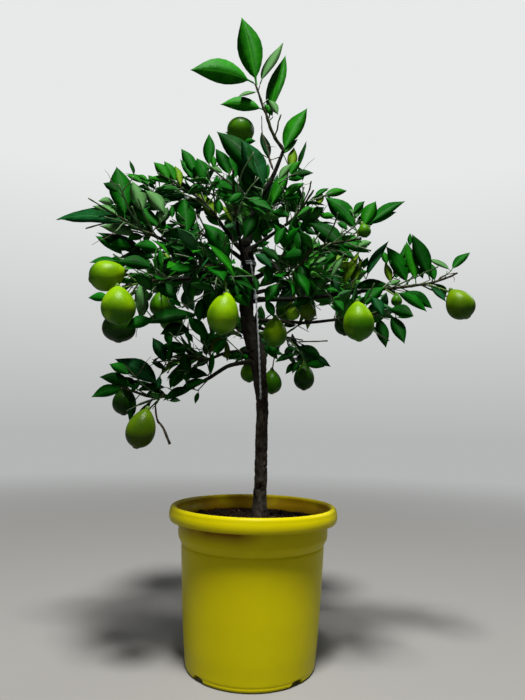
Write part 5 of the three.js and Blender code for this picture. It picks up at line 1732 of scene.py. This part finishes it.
leafMake = {
    "rows": (0, 0.08, 0.11, 0.17, 0.25, 0.35, 0.46, 0.58, 0.7, 0.81, 0.9, 0.96),
    "columns": (-1, -0.06, 0.06, 1, 0),  # the last one is the fold of the underside
    "stalkShare": 0.1, "stalkHalf": 0.014, "stalkUpTo": 0.99, "fullness": 0.9, "roundness": (0.78, 1.2),
    "ratio": (0.34, 0.43), "arch": (0, 0.12), "fold": (0.05, 0.4), "twist": (-0.5, 0.5),
    "bend": (-0.05, 0.05), "wave": (0, 0.008), "thickness": 0.012, "seed": 5, "level": 0.3,
    "waveTurn": 14, "waveShift": 20, "calm": 0.3, "widening": 0.97, "droop": 0.085, "sprayLeaves": 4,
    "sprays": 100,
}
leafStrips = [(0, 1, 0), (1, 2, 1), (2, 3, 0), (4, 0, 2), (3, 4, 2)]  # columns at its edges and slot
leafTints = {  # upper side dark and light, rib, underside
    # The darkest tint is dark leaves and, in part, painted shade of the crown's inside
    "deep": ((0.001, 0.024, 0.001), (0.002, 0.042, 0.002), (0.004, 0.048, 0.004), (0.012, 0.070, 0.010)),
    "mid": ((0.001, 0.050, 0.001), (0.004, 0.084, 0.003), (0.007, 0.092, 0.005), (0.024, 0.120, 0.016)),
    # The brightest green tint is fresh growth and, in part, painted light shining through the top leaves
    "fresh": ((0.004, 0.082, 0.001), (0.010, 0.128, 0.002), (0.018, 0.145, 0.006), (0.045, 0.170, 0.026)),
    "bluish": ((0.001, 0.028, 0.004), (0.005, 0.055, 0.013), (0.012, 0.075, 0.020), (0.034, 0.110, 0.038)),
    "yellow": ((0.050, 0.130, 0.003), (0.105, 0.210, 0.007), (0.120, 0.225, 0.014), (0.110, 0.210, 0.024)),
    "olive": ((0.018, 0.030, 0.001), (0.035, 0.050, 0.004), (0.045, 0.060, 0.007), (0.060, 0.080, 0.015)),
    "under": ((0.003, 0.045, 0.004), (0.008, 0.075, 0.008), (0.055, 0.150, 0.042), (0.065, 0.170, 0.052)),
}
tintShares = (("deep", 0.42), ("mid", 0.74), ("bluish", 0.88), ("fresh", 0.985), ("yellow", 1.0))
leafSurface = {
    "roughness": 0.5, "specular": 0.025, "patchScale": 70, "grainScale": 260, "grainDepth": 0.25,
}
undersideSurface = {
    "roughness": 0.6, "specular": 0.03, "patchScale": 70, "grainScale": 400, "grainDepth": 0.2,
}


# Half width of the outline at a share of the length: a narrow stalk, then a blade that follows
# a sine arch, rounded at the root and pointed at the tip
def outlineHalf(share):
    blade = np.clip((share - leafMake["stalkShare"]) / (1 - leafMake["stalkShare"]), 0, 1)
    roundness = np.interp(blade, [0, 1], leafMake["roundness"])
    return np.sin(math.pi * blade ** leafMake["fullness"]) ** roundness / 2


# Faces of one leaf: on top, each row is blade, rib and blade; below, two strips meet at the
# fifth point of each row. Slots are 0 for blade, 1 for rib and 2 for underside.
def leafFaces():
    width, rows = len(leafMake["columns"]), len(leafMake["rows"])
    start = np.arange(rows - 1) * width
    last, tip = (rows - 1) * width, rows * width
    quads = [
        np.stack([start + a, start + b, start + b + width, start + a + width], axis=1)
        for a, b, _ in leafStrips
    ]
    triangles = [[last + a, last + b, tip] for a, b, _ in leafStrips]
    slots = [slot for _, _, slot in leafStrips]
    quadSlots = np.append(np.repeat(slots, rows - 1), 2)
    quads, triangles = np.concatenate([*quads, [[3, 2, 1, 0]]]), np.array([*triangles, [3, 0, 4]])
    return quads, triangles, quadSlots, [*slots, 2]


# All leaves of one tint at once, as an array of leaves by points. A blade is folded along its
# rib, arched and bent along its length by a parabola, twisted evenly and waved at its edges; a
# leaf of the table keeps its width and bends down.
def leavesPart(leaves, draw):
    count = len(leaves)
    root, along, normal, side = (
        np.array([leaf[key] for leaf in leaves])[:, None] for key in ("root", "along", "normal", "side")
    )
    length = np.array([leaf["length"] for leaf in leaves])[:, None, None]
    ratio, arch, fold, twist, bend, wave = (
        drawn(draw, leafMake[key], count)[:, None]
        for key in ("ratio", "arch", "fold", "twist", "bend", "wave")
    )
    given = np.array([leaf.get("ratio", 0) for leaf in leaves])[:, None]
    ratio = np.where(given > 0, given * leafMake["widening"], ratio)
    fold, twist = (turn * np.where(given > 0, leafMake["calm"], 1) for turn in (fold, twist))
    arch = np.where(given > 0, normal[:, 0, 2:] * leafMake["droop"], arch)
    bend = np.where(given > 0, side[:, 0, 2:] * leafMake["droop"], bend)
    columns, rows = leafMake["columns"], leafMake["rows"]
    share = np.append(np.repeat(rows, len(columns)), 1)
    across = np.append(np.tile(columns, len(rows)), 0)
    under = np.append(np.tile((0, 0, 0, 0, 1), len(rows)), 0)
    narrowest = leafMake["stalkHalf"] * (share < leafMake["stalkUpTo"])
    half = np.maximum(outlineHalf(share)[None] * ratio, narrowest)
    lie = twist * (share - leafMake["level"])
    parabola = 4 * share * (1 - share)
    rise = half * np.abs(across) * np.sin(fold) + arch * parabola - leafMake["thickness"] * under
    waves = np.sin(share * leafMake["waveTurn"] + twist * leafMake["waveShift"])
    rise = (rise + wave * np.abs(across) * waves)[..., None]
    sideways = (half * across * np.cos(fold))[..., None]
    cosine, sine = np.cos(lie)[..., None], np.sin(lie)[..., None]
    points = root + length * (
        along * share[:, None] + (side * cosine + normal * sine) * sideways
        + (normal * cosine - side * sine) * rise + side * (bend * parabola)[..., None]
    )
    quads, triangles, quadSlots, triangleSlots = leafFaces()
    offsets = np.arange(count)[:, None, None] * len(share)
    uv = np.stack([(across + 1) / 2, share], axis=1)
    return makePart(
        points.reshape(-1, 3), (quads + offsets).reshape(-1, 4), (triangles + offsets).reshape(-1, 3),
        np.tile(quadSlots, count), np.tile(triangleSlots, count), uv=np.tile(uv, (count, 1)),
    )


def tintOf(number):
    draw = chance(leafMake["seed"], number, draws["turn"])
    return next(name for name, upTo in tintShares if draw <= upTo)


# Every spray, the leaves of one or two twigs, has one tint
sprays = {name: [] for name in leafTints}
for massNumber, foliage in enumerate(foliages.values()):
    for number, leaf in enumerate(foliage["leaves"]):
        spray = massNumber * leafMake["sprays"] + number // leafMake["sprayLeaves"]
        sprays[leaf.get("tint", tintOf(spray))].append(leaf)
leafDraw = np.random.default_rng(leafMake["seed"])
for tint, leaves in sprays.items():
    dark, light, rib, under = leafTints[tint]
    paints = [
        plainMaterial(tint + "LeafTop", {**leafSurface, "dark": dark, "light": light}),
        plainMaterial(tint + "LeafRib", {**leafSurface, "dark": rib, "light": rib}),
        plainMaterial(tint + "LeafUnder", {**undersideSurface, "dark": under, "light": rib}),
    ]
    piece = makePiece(tint + "Leaves", leavesPart(leaves, leafDraw), paints)
    finishPiece(piece, "foliage")
    print(tint, "leaves:", len(leaves))


# Fruit: an egg that is widest past its middle, with a short neck and a small nipple

fruitMake = {
    "rows": 26, "sides": 26, "neck": 0.72, "blunt": 0.5, "nipple": 0.055, "nippleFrom": 0.985,
    "greenAndShadedTip": (0.34, 0.92), "patchSize": 12, "patchShift": 1.4,
}
calyx = {
    "radius": 3.1, "sides": 20, "lobes": 5, "notch": 0.28, "over": 0.6, "sharpAngle": 50,
    "rows": [(0.3, -3.2, 0), (0.62, -1.8, 0), (1, -0.3, 1), (1, 0.6, 1), (0.4, 0.9, 0)],
}  # each row is its reach, its height and 1 where it is lobed
# The tip's colour is greener and darker: partly uneven ripening, partly painted shade on the fruit's hanging
# lower half
fruitTints = {  # dark and light near the stalk, and the greener colour at the tip
    "ripe": ((0.090, 0.215, 0.001), (0.180, 0.330, 0.001), (0.022, 0.090, 0.001)),
    "half": ((0.060, 0.140, 0.001), (0.120, 0.215, 0.001), (0.018, 0.055, 0.001)),
    "green": ((0.022, 0.105, 0.001), (0.055, 0.170, 0.002), (0.012, 0.065, 0.001)),
    # The dark tint is for fruit in the crown's shade: painted shade
    "dark": ((0.007, 0.038, 0.002), (0.016, 0.060, 0.003), (0.004, 0.022, 0.001)),
    "olive": ((0.028, 0.075, 0.001), (0.060, 0.110, 0.001), (0.022, 0.042, 0.001)),
}
fruitSurface = {
    "roughness": 0.3, "specular": 0.08, "patchScale": 38, "grainScale": 900, "grainDepth": 0.3,
}


# A turned part set with its axis from one point along a direction
def setAlong(part, start, direction):
    across = squareTo(direction)
    axes = np.stack([across, np.cross(direction, across), direction])
    return {**part, "points": part["points"] @ axes + start}


# Radius along the fruit from the stalk: a power of the distance from each end, scaled to the
# fruit's width, and a bump at the tip. The tone is 1 where the peel takes the tip's darker green:
# towards the tip, in patches. The tip hangs lowest, so that green is partly uneven ripening and
# partly painted shade.
def fruitPart(centre, length, width, hang, number):
    share = (1 - np.cos(math.pi * np.linspace(0, 1, fruitMake["rows"]))) / 2
    radius = share ** fruitMake["neck"] * (1 - share) ** fruitMake["blunt"]
    radius = radius / radius.max() * width / 2
    nipple = length * fruitMake["nipple"] / 2
    height = share * (length - nipple) + nipple * (share > fruitMake["nippleFrom"])
    low, high = fruitMake["greenAndShadedTip"]
    part = turnedPart(np.stack([radius, height], axis=1), fruitMake["sides"], (share - low) / (high - low))
    patches = lumps(part["points"], fruitMake["patchSize"], number) - 0.5
    part["tone"] = np.clip(part["tone"] + patches * fruitMake["patchShift"], 0, 1)
    return setAlong(part, centre - hang * length / 2, hang)


# Rings of a star with rounded lobes, narrow and plain at both ends
def calyxPart(centre, length, hang):
    angles = np.arange(calyx["sides"]) * fullTurn / calyx["sides"]
    circle = calyx["radius"] * np.stack([np.cos(angles), np.sin(angles), np.zeros(len(angles))], axis=1)
    notch = calyx["notch"] * (1 - np.cos(angles * calyx["lobes"]))[:, None]
    rings = np.stack([
        circle * reach * (1 - notch * lobed) + upward * height for reach, height, lobed in calyx["rows"]
    ])
    poles = [upward * calyx["rows"][end][1] for end in (0, -1)]
    return setAlong(ringedPart(rings, poles), centre - hang * (length / 2 - calyx["over"]), hang)


for tint, (dark, light, tip) in fruitTints.items():
    parts = [
        fruitPart(centre, length, width, hang, number)
        for number, (_, centre, length, width, hang, own) in enumerate(fruits) if own == tint
    ]
    paint = plainMaterial(tint + "Peel", {**fruitSurface, "dark": dark, "light": light})
    # The tone lays the tip's darker green over the lower half: partly painted shade
    overlay(paint.node_tree, storedTone(paint.node_tree), tip)
    finishPiece(makePiece(tint + "Fruit", joinParts(parts), [paint]), "foliage")
calyxes = joinParts([calyxPart(centre, length, hang) for _, centre, length, _, hang, _ in fruits])
calyxPaint = plainMaterial("calyx", twigLooks["stalk"])
finishPiece(makePiece("calyxes", calyxes, [calyxPaint], calyx["sharpAngle"]), "foliage")
print("fruit made")


# String: three loops round the trunk, a knot and a hanging tail of two twisted strands

string = {
    "thread": 0.72, "loops": ((474.2, 0.06, 0.2), (476.1, -0.05, 1.4), (478.0, 0.03, 2.9)),
    "slack": 0.75, "segments": 48, "overlap": 1.02, "wobble": 0.03, "wobbles": 3, "rise": 0.4,
    "rises": 2, "twist": 0.42, "strandOffset": 0.62, "steps": 60, "step": 1.6, "sides": 8,
    "strands": (0, math.pi),
}
knot = {
    "middle": (-3.2, -12.6, 431), "radii": (2.1, 1.26, 2.52), "segments": 40, "turns": (0, 2.1),
    "helper": (0, 1, 0.2),
}
fray = {
    "leans": ((-1.4, 7.2), (0.3, 9), (1.6, 6.3)),  # sideways and down
    "from": 2, "bend": (0.4, -3), "forward": -0.4, "steps": 12, "step": 1.2, "radius": 0.34, "sides": 5,
}
stringLook = {
    "roughness": 0.8, "specular": 0.3, "patchScale": 300, "dark": (0.20, 0.22, 0.24),
    "light": (0.44, 0.46, 0.47), "grainScale": 2200, "grainDepth": 0.6,
}


# A loop is a circle tilted by a share of its reach, with small waves in its reach and height
def loopPart(height, tilt, phase):
    centre, radius = trunkAt(height)
    angles = np.linspace(0, fullTurn * string["overlap"], string["segments"])
    reach = radius + string["thread"] + string["slack"]
    wobble = reach * (1 + string["wobble"] * np.sin(angles * string["wobbles"] + phase))
    rise = string["rise"] * np.sin(angles * string["rises"] + phase)
    heights = height + tilt * reach * np.cos(angles + phase) + rise
    path = np.stack([centre + wobble * np.cos(angles), wobble * np.sin(angles), heights], axis=1)
    return tubePart(path, string["thread"], string["sides"], helper=upward)


# A strand winds round the tail's path at a fixed distance, by an angle for each millimetre
def strandPart(path, phase):
    travelled = np.linspace(0, pathLength(path), len(path))
    tangents = unit(np.gradient(path, axis=0))
    across = unit(np.cross(tangents, [0, 1, 0]))
    angle = (travelled * string["twist"] + phase)[:, None]
    circle = np.cos(angle) * across + np.sin(angle) * np.cross(tangents, across)
    return tubePart(path + circle * string["strandOffset"], string["thread"], string["sides"])


# A turn of the knot is a figure of eight bent round a circle
def knotPart(turn):
    angles = np.linspace(0, fullTurn, knot["segments"])
    path = np.stack([np.cos(angles), np.sin(2 * angles + turn), np.sin(angles + turn)], axis=1)
    path = path * knot["radii"] + knot["middle"]
    return tubePart(path, string["thread"], string["sides"], helper=np.array(knot["helper"]))


def frayPart(end, lean, drop):
    share, bend = fray["bend"]
    stations = np.array([[0, 0, fray["from"]], [lean * share, 0, bend], [lean, fray["forward"], -drop]])
    path = evenly(splinePoints(end + stations, fray["steps"]), fray["step"])
    return tubePart(path, fray["radius"], fray["sides"])


def makeString():
    tail = evenly(splinePoints(stringTail, string["steps"]), string["step"])
    parts = [loopPart(*loop) for loop in string["loops"]]
    parts += [strandPart(tail, phase) for phase in string["strands"]]
    parts += [knotPart(turn) for turn in knot["turns"]]
    parts += [frayPart(tail[-1], *lean) for lean in fray["leans"]]
    return joinParts(parts)


stringPiece = makePiece("tieString", makeString(), [plainMaterial("tieString", stringLook)])
finishPiece(stringPiece, "string", "tie_string")
print("string made")
